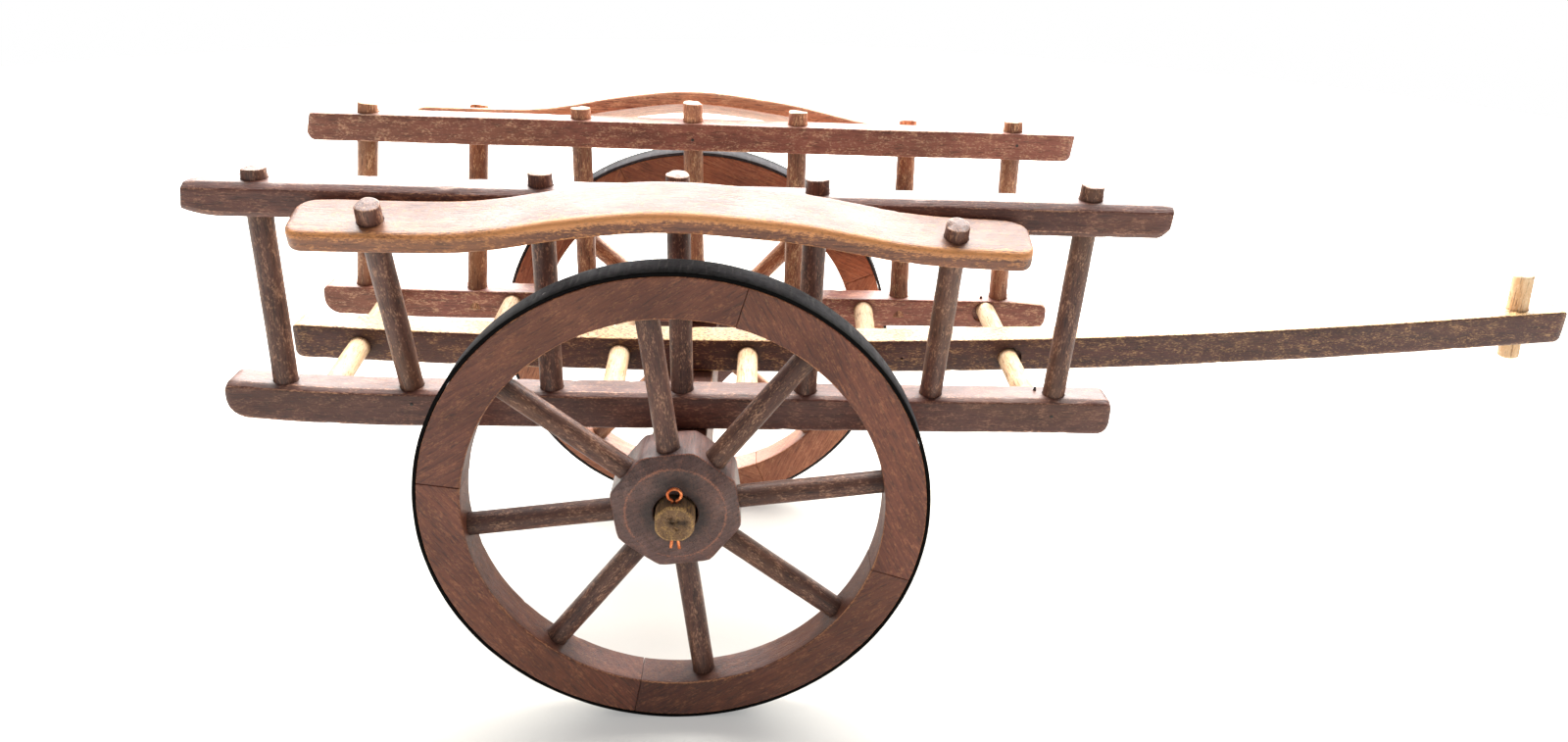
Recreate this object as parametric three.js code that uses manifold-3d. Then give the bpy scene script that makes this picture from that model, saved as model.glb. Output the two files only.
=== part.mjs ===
// A small two-wheeled wooden ox cart: slatted side racks on a ladder bed, two spoked wheels, a long draw pole.
// Millimetres. +X runs forward along the draw pole, +Y to the cart's left, +Z up, the wheels stand on z = 0.
// Lengths along X are stated from the axle; every piece is then moved by AXLE_X, so that the origin is on the
// floor under the middle of the whole cart.
import * as THREE from "three";
import { mergeVertices } from "three/addons/utils/BufferGeometryUtils.js";
import Module from "manifold-3d";

const wasm = await Module();
wasm.setup();

// ---------------------------------------------------------------- driving dimensions
const GAP = 0.25; // clearance left round every piece that sits in another
const DOWEL_R = 5.25; // stakes, rungs, spokes and the hitch peg are one size of dowel
const DOWEL_SIDES = 16;

const TYRE_R = 115; // outside of the tyre: the wheel's radius and the axle's height
const TYRE_T = 1.6;
const RIM_R_OUT = TYRE_R - TYRE_T - 0.2;
const RIM_R_IN = 94.2;
const RIM_Y_OUT = 108.7; // distance of the rim's outer face from the cart's middle
const RIM_W = 17.5;
const RIM_SIDES = 80;
const SPOKE_COUNT = 8;
const SPOKE_Y = 98.3;
const SPOKE_R_IN = 17;
const SPOKE_R_OUT = 103;
const HUB_APOTHEM = 28.4; // half of the eight-sided hub's width across its flats
const HUB_Y_OUT = 108.2;
const HUB_Y_IN = 82.4;
const HUB_FACE_R = 22.6; // the round face that the bevels leave on the hub's outer end
const HUB_BEVEL = 2.8;
const HUB_BORE_R = 9.95;

const AXLE_R = 9.25;
const AXLE_HALF = 116.6;
const PIN_Y = 112.6; // where the split pins cross the axle
const PIN_WIRE_R = 0.75;
const PIN_HOLE_R = 1.95;
const PIN_EYE_R = 3.0;

const SILL_Y_IN = 57.5; // lower side rails
const SILL_Y_OUT = 73.5;
const SILL_Z_BOT = 139.1;
const SILL_Z_TOP = 155.5;
const RAIL_Y_IN = 59.0; // upper side rails
const RAIL_Y_OUT = 76.6;
const RAIL_Z_BOT = 238.7;
const RAIL_Z_TOP = 253.3;

const STAKE_Y = 65.5;
const STAKE_Z_FOOT = 142.0;
const LEAN = THREE.MathUtils.degToRad(16.7); // outward lean of the stakes that carry the wheel guards
const GUARD_Y = 92.0; // middle of the guard's top face where those stakes pass through
const GUARD_Z = 244.7;
const GUARD_W = 26;

const POLE_HALF = 9;
const POLE_Z = 148.1; // middle of the pole over the axle
const POLE_BOW = 1.18e-4; // upward bow, per mm, to both sides of the axle
const POLE_BACK = -198;
const POLE_STRAIGHT = 396; // the pole runs straight from here to its head
const POLE_HEAD = 468;
const PEG_X = 445;
const AXLE_X = -130.75;

const BOLSTER_X = 13;
const BOLSTER_Y = 81.4;
const BOLSTER_Z = [101, 138.8];

// Per side: where each stake leaves the lower rail, where it stands at the upper rail, and its top.
const RIGHT = {
  side: -1,
  name: "right",
  stakeFoot: [-178.9, -122.8, -59.5, 0.5, 58.2, 117.5, 176.9],
  stakeHead: [-178.2, -122.8, -59.0, -0.3, 60.1, 118.1, 181.5],
  stakeTop: [258.1, 8.2, 259.5, 260.2, 260.0, 6.6, 260.4],
  sill: [-203.8, 203.9],
  rail: [-206.5, 217.5],
  guard: [-155.2, 150.8],
  guardLift: 0,
  guardDroop: 0,
  guardTilt: LEAN,
  guardThick: 9,
  pegOut: 2.2, // how far outside the guard's middle line the leaning stakes pass through it
  sillRise: 3.8,
  sillTop: 156.8,
  sillBevel: [3.0, 1.6],
  // Ends of the upper rail: narrowed from the inside, cut up underneath, and raked, each as [amount, length].
  railBack: { narrow: [9.5, 23], under: [2.8, 13], rake: 2.2 },
  railFront: { narrow: [6.5, 11], under: [3.4, 4.5], rake: 1.2 },
  spokePhase: 7.3,
  jointsAt: [74, 172.5, 259.4, 342],
};
const LEFT = {
  side: 1,
  name: "left",
  stakeFoot: [-184.4, -123.6, -61.5, -1.0, 55.5, 116.6, 175.3],
  stakeHead: [-173.8, -121.6, -61.4, -1.4, 55.3, 119.0, 174.1],
  stakeTop: [258.6, 3.9, 259.1, 263.6, 260.6, 6.5, 259.4],
  sill: [-206.3, 203.0],
  rail: [-204.8, 207.6],
  guard: [-153.5, 152.0],
  guardLift: 4.0,
  guardDroop: 2.4,
  guardTilt: THREE.MathUtils.degToRad(23.5),
  guardThick: 7.5,
  pegOut: 0,
  sillRise: 1.5,
  sillTop: 155.5,
  sillBevel: [0.9, 0.9],
  railBack: { narrow: [2.0, 4], under: [3.6, 4.5], rake: 3.4 },
  railFront: { narrow: [2.0, 4], under: [1.6, 2.5], rake: 1.5 },
  spokePhase: 2.5,
  jointsAt: [22.8, 113, 203.5, 292.4],
};
// Rungs: x at the right lower rail, x at the left lower rail, height, and how far their ends reach to either side.
const RUNGS = [
  [-162.4, -169.4, 150.2, 69.0],
  [-100.6, -102.6, 148.4, 69.0],
  [-33.6, -37.6, 148.2, 69.0],
  [30.6, 30.2, 148.2, 69.0],
  [91.6, 96.0, 148.6, 69.0],
  [166.8, 167.2, 149.6, 59.9],
];
// Height of the guard's top face over its straight ends, along its length.
const GUARD_WAVE = [
  [-156, 0.6], [-120, 0.5], [-92, 0.9], [-72, 3.3], [-48, 8.2], [-20, 12.4], [-2, 13.4],
  [20, 12.6], [52, 9.4], [76, 5.0], [97, 1.1], [118, -0.8], [153, -2.0],
];

// ---------------------------------------------------------------- finishes
const finish = (color, roughness, metalness = 0) => new THREE.MeshStandardMaterial({ color, roughness, metalness });
const STAINED = finish(0x6b4438, 0.72);
const STAINED_WARM = finish(0x7d4f35, 0.7);
const HUB_WOOD = finish(0x4e3a38, 0.6);
const PALE = finish(0xc39a6e, 0.8);
const TAN = finish(0xa77d50, 0.75);
const BLACK_IRON = finish(0x2b2d30, 0.65, 0.2);
const COPPER = finish(0xb9693c, 0.35, 0.9);
const OLIVE = finish(0x8a7648, 0.8);

const cart = new THREE.Group();
cart.name = "ox_cart";

// ---------------------------------------------------------------- solids
function solid(geometry) {
  const g = geometry.clone();
  g.deleteAttribute("normal");
  g.deleteAttribute("uv");
  const merged = mergeVertices(g, 1e-4);
  const keep = [];
  const index = merged.index.array;
  for (let i = 0; i < index.length; i += 3) {
    const [a, b, c] = [index[i], index[i + 1], index[i + 2]];
    if (a !== b && b !== c && c !== a) keep.push(a, b, c);
  }
  const made = new wasm.Manifold(
    new wasm.Mesh({ numProp: 3, vertProperties: merged.attributes.position.array, triVerts: new Uint32Array(keep) }),
  );
  if (made.volume() <= 0) throw new Error("a solid faces inwards");
  return made;
}

function add(name, body, material) {
  const mesh = body.translate([AXLE_X, 0, 0]).getMesh();
  const g = new THREE.BufferGeometry();
  g.setAttribute("position", new THREE.BufferAttribute(new Float32Array(mesh.vertProperties), 3));
  g.setIndex(new THREE.BufferAttribute(new Uint32Array(mesh.triVerts), 1));
  const piece = new THREE.Mesh(g, material);
  piece.name = name;
  cart.add(piece);
}

const V = (x, y, z) => new THREE.Vector3(x, y, z);

// A round dowel from point a to point b, with its two ends eased.
function dowel(a, b, r, easeA = 0.6, easeB = 0.6, sides = DOWEL_SIDES) {
  const length = a.distanceTo(b);
  const profile = easeA
    ? [[0, 0], [r - easeA, 0], [r, easeA], [r, length - easeB], [r - easeB, length], [0, length]]
    : [[0, 0], [r, 0], [r, length], [0, length]];
  const g = new THREE.LatheGeometry(profile.map(([x, y]) => new THREE.Vector2(x, y)), sides);
  const turn = new THREE.Quaternion().setFromUnitVectors(V(0, 1, 0), b.clone().sub(a).normalize());
  g.applyQuaternion(turn);
  g.translate(a.x, a.y, a.z);
  return solid(g);
}

// The bore for a dowel of radius r: the same line, wider by the gap.
function bore(a, b, r, sides = DOWEL_SIDES) {
  return dowel(a, b, r + GAP, 0, 0, sides);
}

// A bar skinned over closed sections: section(i) gives [[x, y, z], ...], anticlockwise seen from +X.
function skin(rings) {
  const n = rings[0].length;
  const points = rings.flat();
  const faces = [];
  for (let s = 0; s + 1 < rings.length; s++)
    for (let k = 0; k < n; k++) {
      const [a, b] = [s * n + k, s * n + ((k + 1) % n)];
      faces.push(a, b, b + n, a, b + n, a + n);
    }
  const outline = rings[0].map(([, y, z]) => new THREE.Vector2(y, z));
  const last = (rings.length - 1) * n;
  for (const [a, b, c] of THREE.ShapeUtils.triangulateShape(outline, [])) {
    faces.push(a, c, b);
    faces.push(last + a, last + b, last + c);
  }
  const g = new THREE.BufferGeometry();
  g.setAttribute("position", new THREE.BufferAttribute(new Float32Array(points.flat()), 3));
  g.setIndex(faces);
  return solid(g);
}

// A rectangle from (y0, z0) to (y1, z1) with its corners cut: c = [low y0, low y1, high y1, high y0] as [dy, dz].
function cutBox(y0, y1, z0, z1, c) {
  return [
    [y0 + c[0][0], z0], [y1 - c[1][0], z0], [y1, z0 + c[1][1]], [y1, z1 - c[2][1]],
    [y1 - c[2][0], z1], [y0 + c[3][0], z1], [y0, z1 - c[3][1]], [y0, z0 + c[0][1]],
  ];
}

// How far a rounded end of radius r draws in at distance d from its tip.
const drawIn = (d, r) => (d >= r ? 0 : r - Math.sqrt(Math.max(0, r * r - (r - d) * (r - d))));

// Mirrors a list of (y, z) points to the given side, keeping it anticlockwise.
const toSide = (side, points) => (side > 0 ? points : points.map(([y, z]) => [-y, z]).reverse());

function stations(from, to, ends, inner) {
  const list = [];
  for (const d of ends) list.push(from + d);
  for (const x of inner) if (x > from + ends.at(-1) + 1 && x < to - ends.at(-1) - 1) list.push(x);
  for (const d of [...ends].reverse()) list.push(to - d);
  return list;
}

const range = (from, to, step) => {
  const out = [];
  for (let x = from; x <= to + 1e-9; x += step) out.push(x);
  return out;
};

// ---------------------------------------------------------------- stakes of one side, as lines
function stakeLine(s, i) {
  const leaning = i === 1 || i === 5;
  if (!leaning) {
    const slope = (s.stakeHead[i] - s.stakeFoot[i]) / (246 - SILL_Z_TOP);
    const at = (z) => V(s.stakeFoot[i] + slope * (z - SILL_Z_TOP), s.side * (STAKE_Y + (z - SILL_Z_TOP) * 0.011), z);
    return { a: at(STAKE_Z_FOOT), b: at(s.stakeTop[i]) };
  }
  // Passes through the middle of the guard, square to it.
  const lift = guardHeight(s, s.stakeHead[i]);
  const through = V(s.stakeHead[i], s.side * (GUARD_Y + lift * Math.sin(LEAN)), GUARD_Z + lift * Math.cos(LEAN));
  const up = V(0, s.side * Math.sin(LEAN), Math.cos(LEAN));
  const length = (through.z - STAKE_Z_FOOT - 1.5) / Math.cos(LEAN);
  const foot = through.clone().addScaledVector(up, -length);
  foot.x = s.stakeFoot[i];
  through.add(V(0, s.side * s.pegOut * Math.cos(LEAN), -s.pegOut * Math.sin(LEAN)));
  const along = through.clone().sub(foot).normalize();
  return { a: foot, b: through.clone().addScaledVector(along, s.stakeTop[i]) };
}

// Height of a side's guard over its straight ends: the left one falls away a little towards its front end.
function guardHeight(s, x) {
  return guardWave(x) + s.guardLift - s.guardDroop * Math.min(1, Math.max(0, (x - 5) / 75));
}

function guardWave(x) {
  const curve = guardWave.points ?? (guardWave.points = new THREE.SplineCurve(
    GUARD_WAVE.map(([px, h]) => new THREE.Vector2(px, h))).getPoints(240));
  let k = 1;
  while (k < curve.length - 1 && curve[k].x < x) k++;
  const [p, q] = [curve[k - 1], curve[k]];
  return p.y + ((q.y - p.y) * (x - p.x)) / (q.x - p.x);
}

// ---------------------------------------------------------------- rungs, pole, axle
const rungLines = RUNGS.map(([xr, xl, z, end]) => {
  const slope = (xl - xr) / (2 * SILL_Y_IN);
  const mid = (xl + xr) / 2;
  return { a: V(mid - slope * end, -end, z), b: V(mid + slope * end, end, z) };
});
rungLines.forEach(({ a, b }, i) => add(`rung_${i + 1}`, dowel(a, b, DOWEL_R), PALE));

function poleMiddle(x) {
  if (x <= POLE_STRAIGHT) return POLE_Z + POLE_BOW * x * x;
  const slope = 2 * POLE_BOW * POLE_STRAIGHT;
  return POLE_Z + POLE_BOW * POLE_STRAIGHT ** 2 + slope * (x - POLE_STRAIGHT);
}
const poleEnds = [0, 0.7, 2.2, 5];
const poleX = stations(POLE_BACK, POLE_HEAD, poleEnds, [...range(-180, 380, 20), POLE_STRAIGHT]);
let pole = skin(poleX.map((x) => {
  const d = Math.min(x - POLE_BACK, POLE_HEAD - x);
  const inset = drawIn(d, 5) * 0.55;
  const [h, z] = [POLE_HALF - inset, poleMiddle(x)];
  return cutBox(-h, h, z - h, z + h, [[1.6, 1.6], [1.6, 1.6], [0.7, 0.7], [0.7, 0.7]]).map(([y, v]) => [x, y, v]);
}));
for (const { a, b } of rungLines) pole = pole.subtract(bore(a, b, DOWEL_R));
const headSlope = 2 * POLE_BOW * POLE_STRAIGHT;
const pegUp = V(-headSlope, 0, 1).normalize();
const pegAt = V(PEG_X, 0, poleMiddle(PEG_X));
const pegLine = {
  a: pegAt.clone().addScaledVector(pegUp, -POLE_HALF - 10),
  b: pegAt.clone().addScaledVector(pegUp, POLE_HALF + 20),
};
pole = pole.subtract(bore(
  pegLine.a.clone().addScaledVector(pegUp, -1), pegLine.b.clone().addScaledVector(pegUp, 1), DOWEL_R));
add("draw_pole", pole, TAN);
add("hitch_peg", dowel(pegLine.a, pegLine.b, DOWEL_R, 1.2, 1.2), PALE);

const [axleA, axleB] = [V(0, -AXLE_HALF, TYRE_R), V(0, AXLE_HALF, TYRE_R)];
let axle = dowel(axleA, axleB, AXLE_R, 1, 1, 40);
for (const side of [-1, 1])
  axle = axle.subtract(dowel(
    V(0, side * PIN_Y, TYRE_R - 14), V(0, side * PIN_Y, TYRE_R + 14), PIN_HOLE_R, 0, 0, 12));
add("axle", axle, OLIVE);

const bolsterX = stations(-BOLSTER_X, BOLSTER_X, [0], []);
let bolster = skin(bolsterX.map((x) =>
  cutBox(-BOLSTER_Y, BOLSTER_Y, BOLSTER_Z[0], BOLSTER_Z[1], [[6, 6], [6, 6], [1, 1], [1, 1]])
    .map(([y, z]) => [x, y, z])));
bolster = bolster.subtract(bore(V(0, -BOLSTER_Y - 2, TYRE_R), V(0, BOLSTER_Y + 2, TYRE_R), AXLE_R, 40));
add("axle_bolster", bolster, STAINED);

// A split pin: one wire, up one leg, round the eye and down the other.
for (const { side, name } of [RIGHT, LEFT]) {
  const [y, top] = [side * PIN_Y, TYRE_R + AXLE_R];
  const eye = top + PIN_EYE_R + 0.8;
  const neck = 0.95;
  const start = Math.asin(neck / PIN_EYE_R);
  const path = [V(-1.9, y, TYRE_R - AXLE_R - 5.6), V(-1.35, y, TYRE_R - AXLE_R - 1.5), V(-neck, y, TYRE_R - 5)];
  path.push(V(-neck, y, TYRE_R + 5), V(-neck, y, top - 1.6));
  for (let k = 0; k <= 12; k++) {
    const angle = -Math.PI / 2 - start - ((2 * Math.PI - 2 * start) * k) / 12;
    path.push(V(PIN_EYE_R * Math.cos(angle), y, eye + PIN_EYE_R * Math.sin(angle)));
  }
  path.push(V(neck, y, top - 1.6), V(neck, y, TYRE_R + 5), V(neck, y, TYRE_R - 5));
  path.push(V(1.35, y, TYRE_R - AXLE_R - 1.5), V(1.9, y, TYRE_R - AXLE_R - 6.0));
  const ring = new THREE.Shape();
  ring.absarc(0, 0, PIN_WIRE_R, 0, 2 * Math.PI, false);
  const wire = new THREE.ExtrudeGeometry(ring, {
    extrudePath: new THREE.CatmullRomCurve3(path, false, "centripetal"), steps: 48, curveSegments: 3, bevelEnabled: false,
  });
  add(`${name}_cotter_pin`, solid(wire), COPPER);
}

// ---------------------------------------------------------------- the two sides
for (const s of [RIGHT, LEFT]) {
  const lines = [0, 1, 2, 3, 4, 5, 6].map((i) => stakeLine(s, i));

  // Lower rail, its ends rounded and its back end swept up a little.
  const rise = (x) => (x < -128 ? s.sillRise * ((-128 - x) / 76) ** 2 : 0);
  const [sa, sb] = s.sill;
  const sillX = stations(sa, sb, [0, 0.8, 2.6, 5.2, 9], [-182, -168, -154, -140, -128, 0, 120]);
  let sill = skin(sillX.map((x) => {
    const back = x < 0;
    const d = back ? x - sa : sb - x;
    const low = drawIn(d, back ? 9 : 6);
    const high = drawIn(d, back ? 4.5 : 4) * 0.8;
    const across = drawIn(d, 3) * 0.5;
    const lift = rise(x);
    return toSide(s.side, cutBox(SILL_Y_IN + across, SILL_Y_OUT - across, SILL_Z_BOT + low + lift,
      s.sillTop - high + lift, [[0.7, 0.7], [0.9, 0.9], s.sillBevel, [0.7, 0.7]])).map(([y, z]) => [x, y, z]);
  }));
  for (const { a, b } of lines) {
    const down = a.clone().sub(b).normalize();
    sill = sill.subtract(bore(a.clone().addScaledVector(down, GAP), b, DOWEL_R));
  }
  for (const { a, b } of rungLines) {
    const out = s.side < 0 ? a.clone().sub(b).normalize() : b.clone().sub(a).normalize();
    const tip = (s.side < 0 ? a : b).clone().addScaledVector(out, GAP);
    const start = s.side < 0 ? b : a;
    sill = sill.subtract(bore(start, tip, DOWEL_R));
  }
  add(`${s.name}_lower_rail`, sill, STAINED);

  // Upper rail, its outer edges bevelled and its ends worked back.
  const [ra, rb] = s.rail;
  const railX = stations(ra, rb, [0, 1.5, 4, 8, 14, 24], [0]);
  let rail = skin(railX.map((x) => {
    const back = x < 0;
    const d = back ? x - ra : rb - x;
    const { narrow, under, rake } = back ? s.railBack : s.railFront;
    const left = ([amount, length]) => amount * Math.max(0, 1 - d / length) ** 1.4;
    const t = Math.max(0, 1 - d / 4);
    const [z0, z1] = [RAIL_Z_BOT + left(under), RAIL_Z_TOP - t * 0.6];
    const section = toSide(s.side, cutBox(RAIL_Y_IN + left(narrow), RAIL_Y_OUT - t * 0.7, z0, z1,
      [[0.8, 0.8], [1.4, 2.3], [3.3, 2.4], [0.8, 0.8]].map((c) => c.map((v) => v * (1 - 0.2 * t)))));
    const fade = Math.max(0, 1 - d / 20);
    return section.map(([y, z]) => {
      const up = (z - RAIL_Z_BOT) / (RAIL_Z_TOP - RAIL_Z_BOT);
      return [x + (back ? rake * up : -rake * (1 - up)) * fade, y, z];
    });
  }));
  for (const i of [0, 2, 3, 4, 6]) {
    const { a, b } = lines[i];
    const up = b.clone().sub(a).normalize();
    rail = rail.subtract(bore(a, b.clone().addScaledVector(up, 2), DOWEL_R));
  }
  add(`${s.name}_upper_rail`, rail, STAINED);

  // Wheel guard: a board of even thickness sawn to a wave, its outer edge and its corners rounded.
  const [ga, gb] = s.guard;
  const guardX = stations(ga, gb, [0, 0.9, 3, 6.5, 11], range(-140, 140, 8));
  const [c, sn] = [Math.cos(s.guardTilt), Math.sin(s.guardTilt)];
  let guard = skin(guardX.map((x) => {
    const d = Math.min(x - ga, gb - x);
    const inner = drawIn(d, 11) * 0.8;
    const outer = drawIn(d, 6.5) * 0.9;
    const thin = drawIn(d, 3) * 0.3;
    const h = guardHeight(s, x);
    const [u0, u1] = [-GUARD_W / 2 + inner, GUARD_W / 2 - outer];
    const [n0, n1] = [h - s.guardThick + thin, h - thin];
    const section = [[u0 + 0.8, n0], [u1 - 1, n0], [u1, n0 + 1], [u1, n1 - 3], [u1 - 0.5, n1 - 1.5],
      [u1 - 1.5, n1 - 0.5], [u1 - 3, n1], [u0 + 0.8, n1], [u0, n1 - 0.8], [u0, n0 + 0.8]];
    const placed = section.map(([u, n]) => [GUARD_Y + u * c + n * sn, GUARD_Z - u * sn + n * c]);
    return toSide(s.side, placed).map(([y, z]) => [x, y, z]);
  }));
  for (const i of [1, 5]) {
    const { a, b } = lines[i];
    const up = b.clone().sub(a).normalize();
    guard = guard.subtract(bore(a, b.clone().addScaledVector(up, 2), DOWEL_R));
  }
  add(`${s.name}_wheel_guard`, guard, STAINED_WARM);

  lines.forEach(({ a, b }, i) => add(`${s.name}_stake_${i + 1}`, dowel(a, b, DOWEL_R, 0.5, 0.9), STAINED));

  // ------------------------------------------------------------ wheel
  const at = (r, degrees, y = SPOKE_Y) => {
    const angle = THREE.MathUtils.degToRad(degrees);
    return V(r * Math.cos(angle), s.side * y, TYRE_R + r * Math.sin(angle));
  };
  const spokeAngles = range(0, SPOKE_COUNT - 1, 1).map((k) => s.spokePhase + (360 / SPOKE_COUNT) * k);

  // Turns a lathe profile of [radius, distance from the cart's middle] about the axle.
  const turned = (profile, sides) => {
    const g = new THREE.LatheGeometry(profile.map(([r, y]) => new THREE.Vector2(r, y)), sides);
    g.translate(0, 0, 0);
    if (s.side < 0) g.rotateX(Math.PI);
    g.translate(0, 0, TYRE_R);
    return solid(g);
  };

  const corner = HUB_APOTHEM / Math.cos(Math.PI / 8);
  const ringOf = (count, r, y, turn) => range(0, count - 1, 1).map((k) => {
    const angle = THREE.MathUtils.degToRad(turn + (360 / count) * k);
    return [r * Math.cos(angle), s.side * y, TYRE_R + r * Math.sin(angle)];
  });
  const eight = s.spokePhase + 22.5;
  let hub = wasm.Manifold.hull([
    ...ringOf(8, corner - 0.9, HUB_Y_IN, eight), ...ringOf(8, corner, HUB_Y_IN + 1, eight),
    ...ringOf(8, corner, HUB_Y_OUT - HUB_BEVEL, eight), ...ringOf(40, HUB_FACE_R, HUB_Y_OUT, 0),
  ]);
  hub = hub.subtract(turned([[0, HUB_Y_IN - 2], [HUB_BORE_R, HUB_Y_IN - 2], [HUB_BORE_R, HUB_Y_OUT + 2], [0, HUB_Y_OUT + 2]], 40));
  for (const angle of spokeAngles) hub = hub.subtract(bore(at(SPOKE_R_IN - GAP, angle), at(60, angle), DOWEL_R, 16));
  add(`${s.name}_hub`, hub, HUB_WOOD);

  spokeAngles.forEach((angle, k) =>
    add(`${s.name}_spoke_${k + 1}`, dowel(at(SPOKE_R_IN, angle), at(SPOKE_R_OUT, angle), DOWEL_R, 0.4, 0.4, 16), STAINED));

  // Four felloes, butted end to end and bored for the spokes.
  s.jointsAt.forEach((from, k) => {
    const to = s.jointsAt[(k + 1) % 4] + (k === 3 ? 360 : 0);
    const slack = THREE.MathUtils.radToDeg(0.15 / RIM_R_OUT);
    const [a0, a1] = [from + slack, to - slack].map(THREE.MathUtils.degToRad);
    const shape = new THREE.Shape();
    const count = Math.round(((to - from) / 360) * RIM_SIDES);
    const arc = (r, t) => new THREE.Vector2(r * Math.cos(t), r * Math.sin(t));
    const outline = [];
    for (let i = 0; i <= count; i++) outline.push(arc(RIM_R_OUT - 0.6, a0 + ((a1 - a0) * i) / count));
    for (let i = count; i >= 0; i--) outline.push(arc(RIM_R_IN + 0.6, a0 + ((a1 - a0) * i) / count));
    shape.setFromPoints(outline);
    const g = new THREE.ExtrudeGeometry(shape, {
      depth: RIM_W - 1.2, bevelEnabled: true, bevelThickness: 0.6, bevelSize: 0.6, bevelSegments: 1,
    });
    g.translate(0, 0, 0.6);
    g.rotateX(Math.PI / 2);
    g.translate(0, s.side < 0 ? -(RIM_Y_OUT - RIM_W) : RIM_Y_OUT, TYRE_R);
    let felloe = solid(g);
    // The bevel widens the piece at its two joints: trim it back to its own sector.
    const wedge = new THREE.Shape();
    const reach = 190;
    const middle = (a0 + a1) / 2;
    wedge.setFromPoints([new THREE.Vector2(0, 0), arc(reach, a0), arc(reach * 1.3, middle), arc(reach, a1)]);
    const sector = new THREE.ExtrudeGeometry(wedge, { depth: RIM_W + 4, bevelEnabled: false });
    sector.rotateX(Math.PI / 2);
    sector.translate(0, s.side < 0 ? -(RIM_Y_OUT - RIM_W - 2) : RIM_Y_OUT + 2, TYRE_R);
    felloe = felloe.intersect(solid(sector));
    for (const angle of spokeAngles)
      felloe = felloe.subtract(bore(at(60, angle), at(SPOKE_R_OUT + GAP, angle), DOWEL_R, 16));
    add(`${s.name}_felloe_${k + 1}`, felloe, STAINED_WARM);
  });

  const [t0, t1] = [RIM_Y_OUT - RIM_W, RIM_Y_OUT];
  add(`${s.name}_tyre`, turned([
    [TYRE_R - TYRE_T, t0], [TYRE_R, t0], [TYRE_R, t1], [TYRE_R - TYRE_T, t1],
    [TYRE_R - TYRE_T, t0],
  ], RIM_SIDES), BLACK_IRON);
}

export default cart;
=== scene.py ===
"""Looks of a small hand-made wooden ox cart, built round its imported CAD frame.

Lengths are stated in millimetres from the middle of the axle along X, as in the CAD source, and become metres of the
shared frame in world(). +X runs forward along the draw pole, +Y to the cart's left, +Z up.
"""

import math
import random

import bmesh
import bpy
import numpy as np
from mathutils import Matrix, Vector, noise

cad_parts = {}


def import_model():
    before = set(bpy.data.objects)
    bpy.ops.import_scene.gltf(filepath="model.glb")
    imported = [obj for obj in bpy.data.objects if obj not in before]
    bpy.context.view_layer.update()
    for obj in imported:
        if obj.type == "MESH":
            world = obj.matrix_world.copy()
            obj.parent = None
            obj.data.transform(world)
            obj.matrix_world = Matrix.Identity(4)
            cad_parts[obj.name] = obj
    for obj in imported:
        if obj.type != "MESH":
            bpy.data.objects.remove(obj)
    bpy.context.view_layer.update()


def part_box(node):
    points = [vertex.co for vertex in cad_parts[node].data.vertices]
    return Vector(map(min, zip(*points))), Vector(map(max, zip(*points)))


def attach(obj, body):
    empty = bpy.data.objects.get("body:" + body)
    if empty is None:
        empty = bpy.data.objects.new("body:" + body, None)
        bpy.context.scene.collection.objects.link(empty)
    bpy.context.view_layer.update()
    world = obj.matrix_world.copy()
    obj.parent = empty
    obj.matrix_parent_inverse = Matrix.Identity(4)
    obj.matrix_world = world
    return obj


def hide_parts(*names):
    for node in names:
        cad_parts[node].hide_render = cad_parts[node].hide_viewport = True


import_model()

MM = 0.001
AXLE_LOW, AXLE_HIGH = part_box("axle")
AXLE_X = (AXLE_LOW.x + AXLE_HIGH.x) / 2 / MM

# ------------------------------------------------------------ the CAD's own sizes
GAP = 0.25
DOWEL_R = 5.25
TYRE_R = 115.0
TYRE_T = 1.6
RIM_R_OUT = 113.2
RIM_R_IN = 94.2
RIM_Y_OUT = 108.7
RIM_W = 17.5
FELLOE_MIDDLE_R = 104.0
SPOKE_COUNT = 8
SPOKE_TURN = 360 / SPOKE_COUNT
SPOKE_Y = 98.3
SPOKE_R_IN = 17.0
SPOKE_R_OUT = 103.0
HUB_APOTHEM = 28.4
HUB_Y_IN = 82.4
HUB_Y_OUT = 108.2
HUB_BORE_R = 9.95
HUB_FACE_R = 22.6
HUB_BEVEL = 2.8
AXLE_R = 9.25
AXLE_HALF = 116.6
PIN_Y = 112.6
PIN_WIRE_R = 0.75
PIN_EYE_R = 3.0
SILL_Y = (57.5, 73.5)
SILL_Z = (139.1, 155.5)
SWEEP_FROM, SWEEP_LENGTH = -128.0, 76.0  # the lower rails' back ends sweep up from here
RAIL_Y = (59.0, 76.6)
RAIL_Z = (238.7, 253.3)
STAKE_Y = 65.5
STAKE_Z_FOOT = 142.0
HEAD_Z = 246.0  # the height at which the upright stakes' heads are placed
LEANING = (1, 5)
UPRIGHT = (0, 2, 3, 4, 6)
LEAN = math.radians(16.7)
GUARD_Y = 92.0
GUARD_Z = 244.7
GUARD_W = 26.0
POLE_HALF = 9.0
POLE_Z = 148.1
POLE_BOW = 1.18e-4
POLE_BACK = -198.0
POLE_STRAIGHT = 396.0
POLE_HEAD = 468.0
PEG_X = 445.0
BOLSTER_X = 13.0
BOLSTER_Y = 81.4
BOLSTER_Z = (101.0, 138.8)

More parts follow.
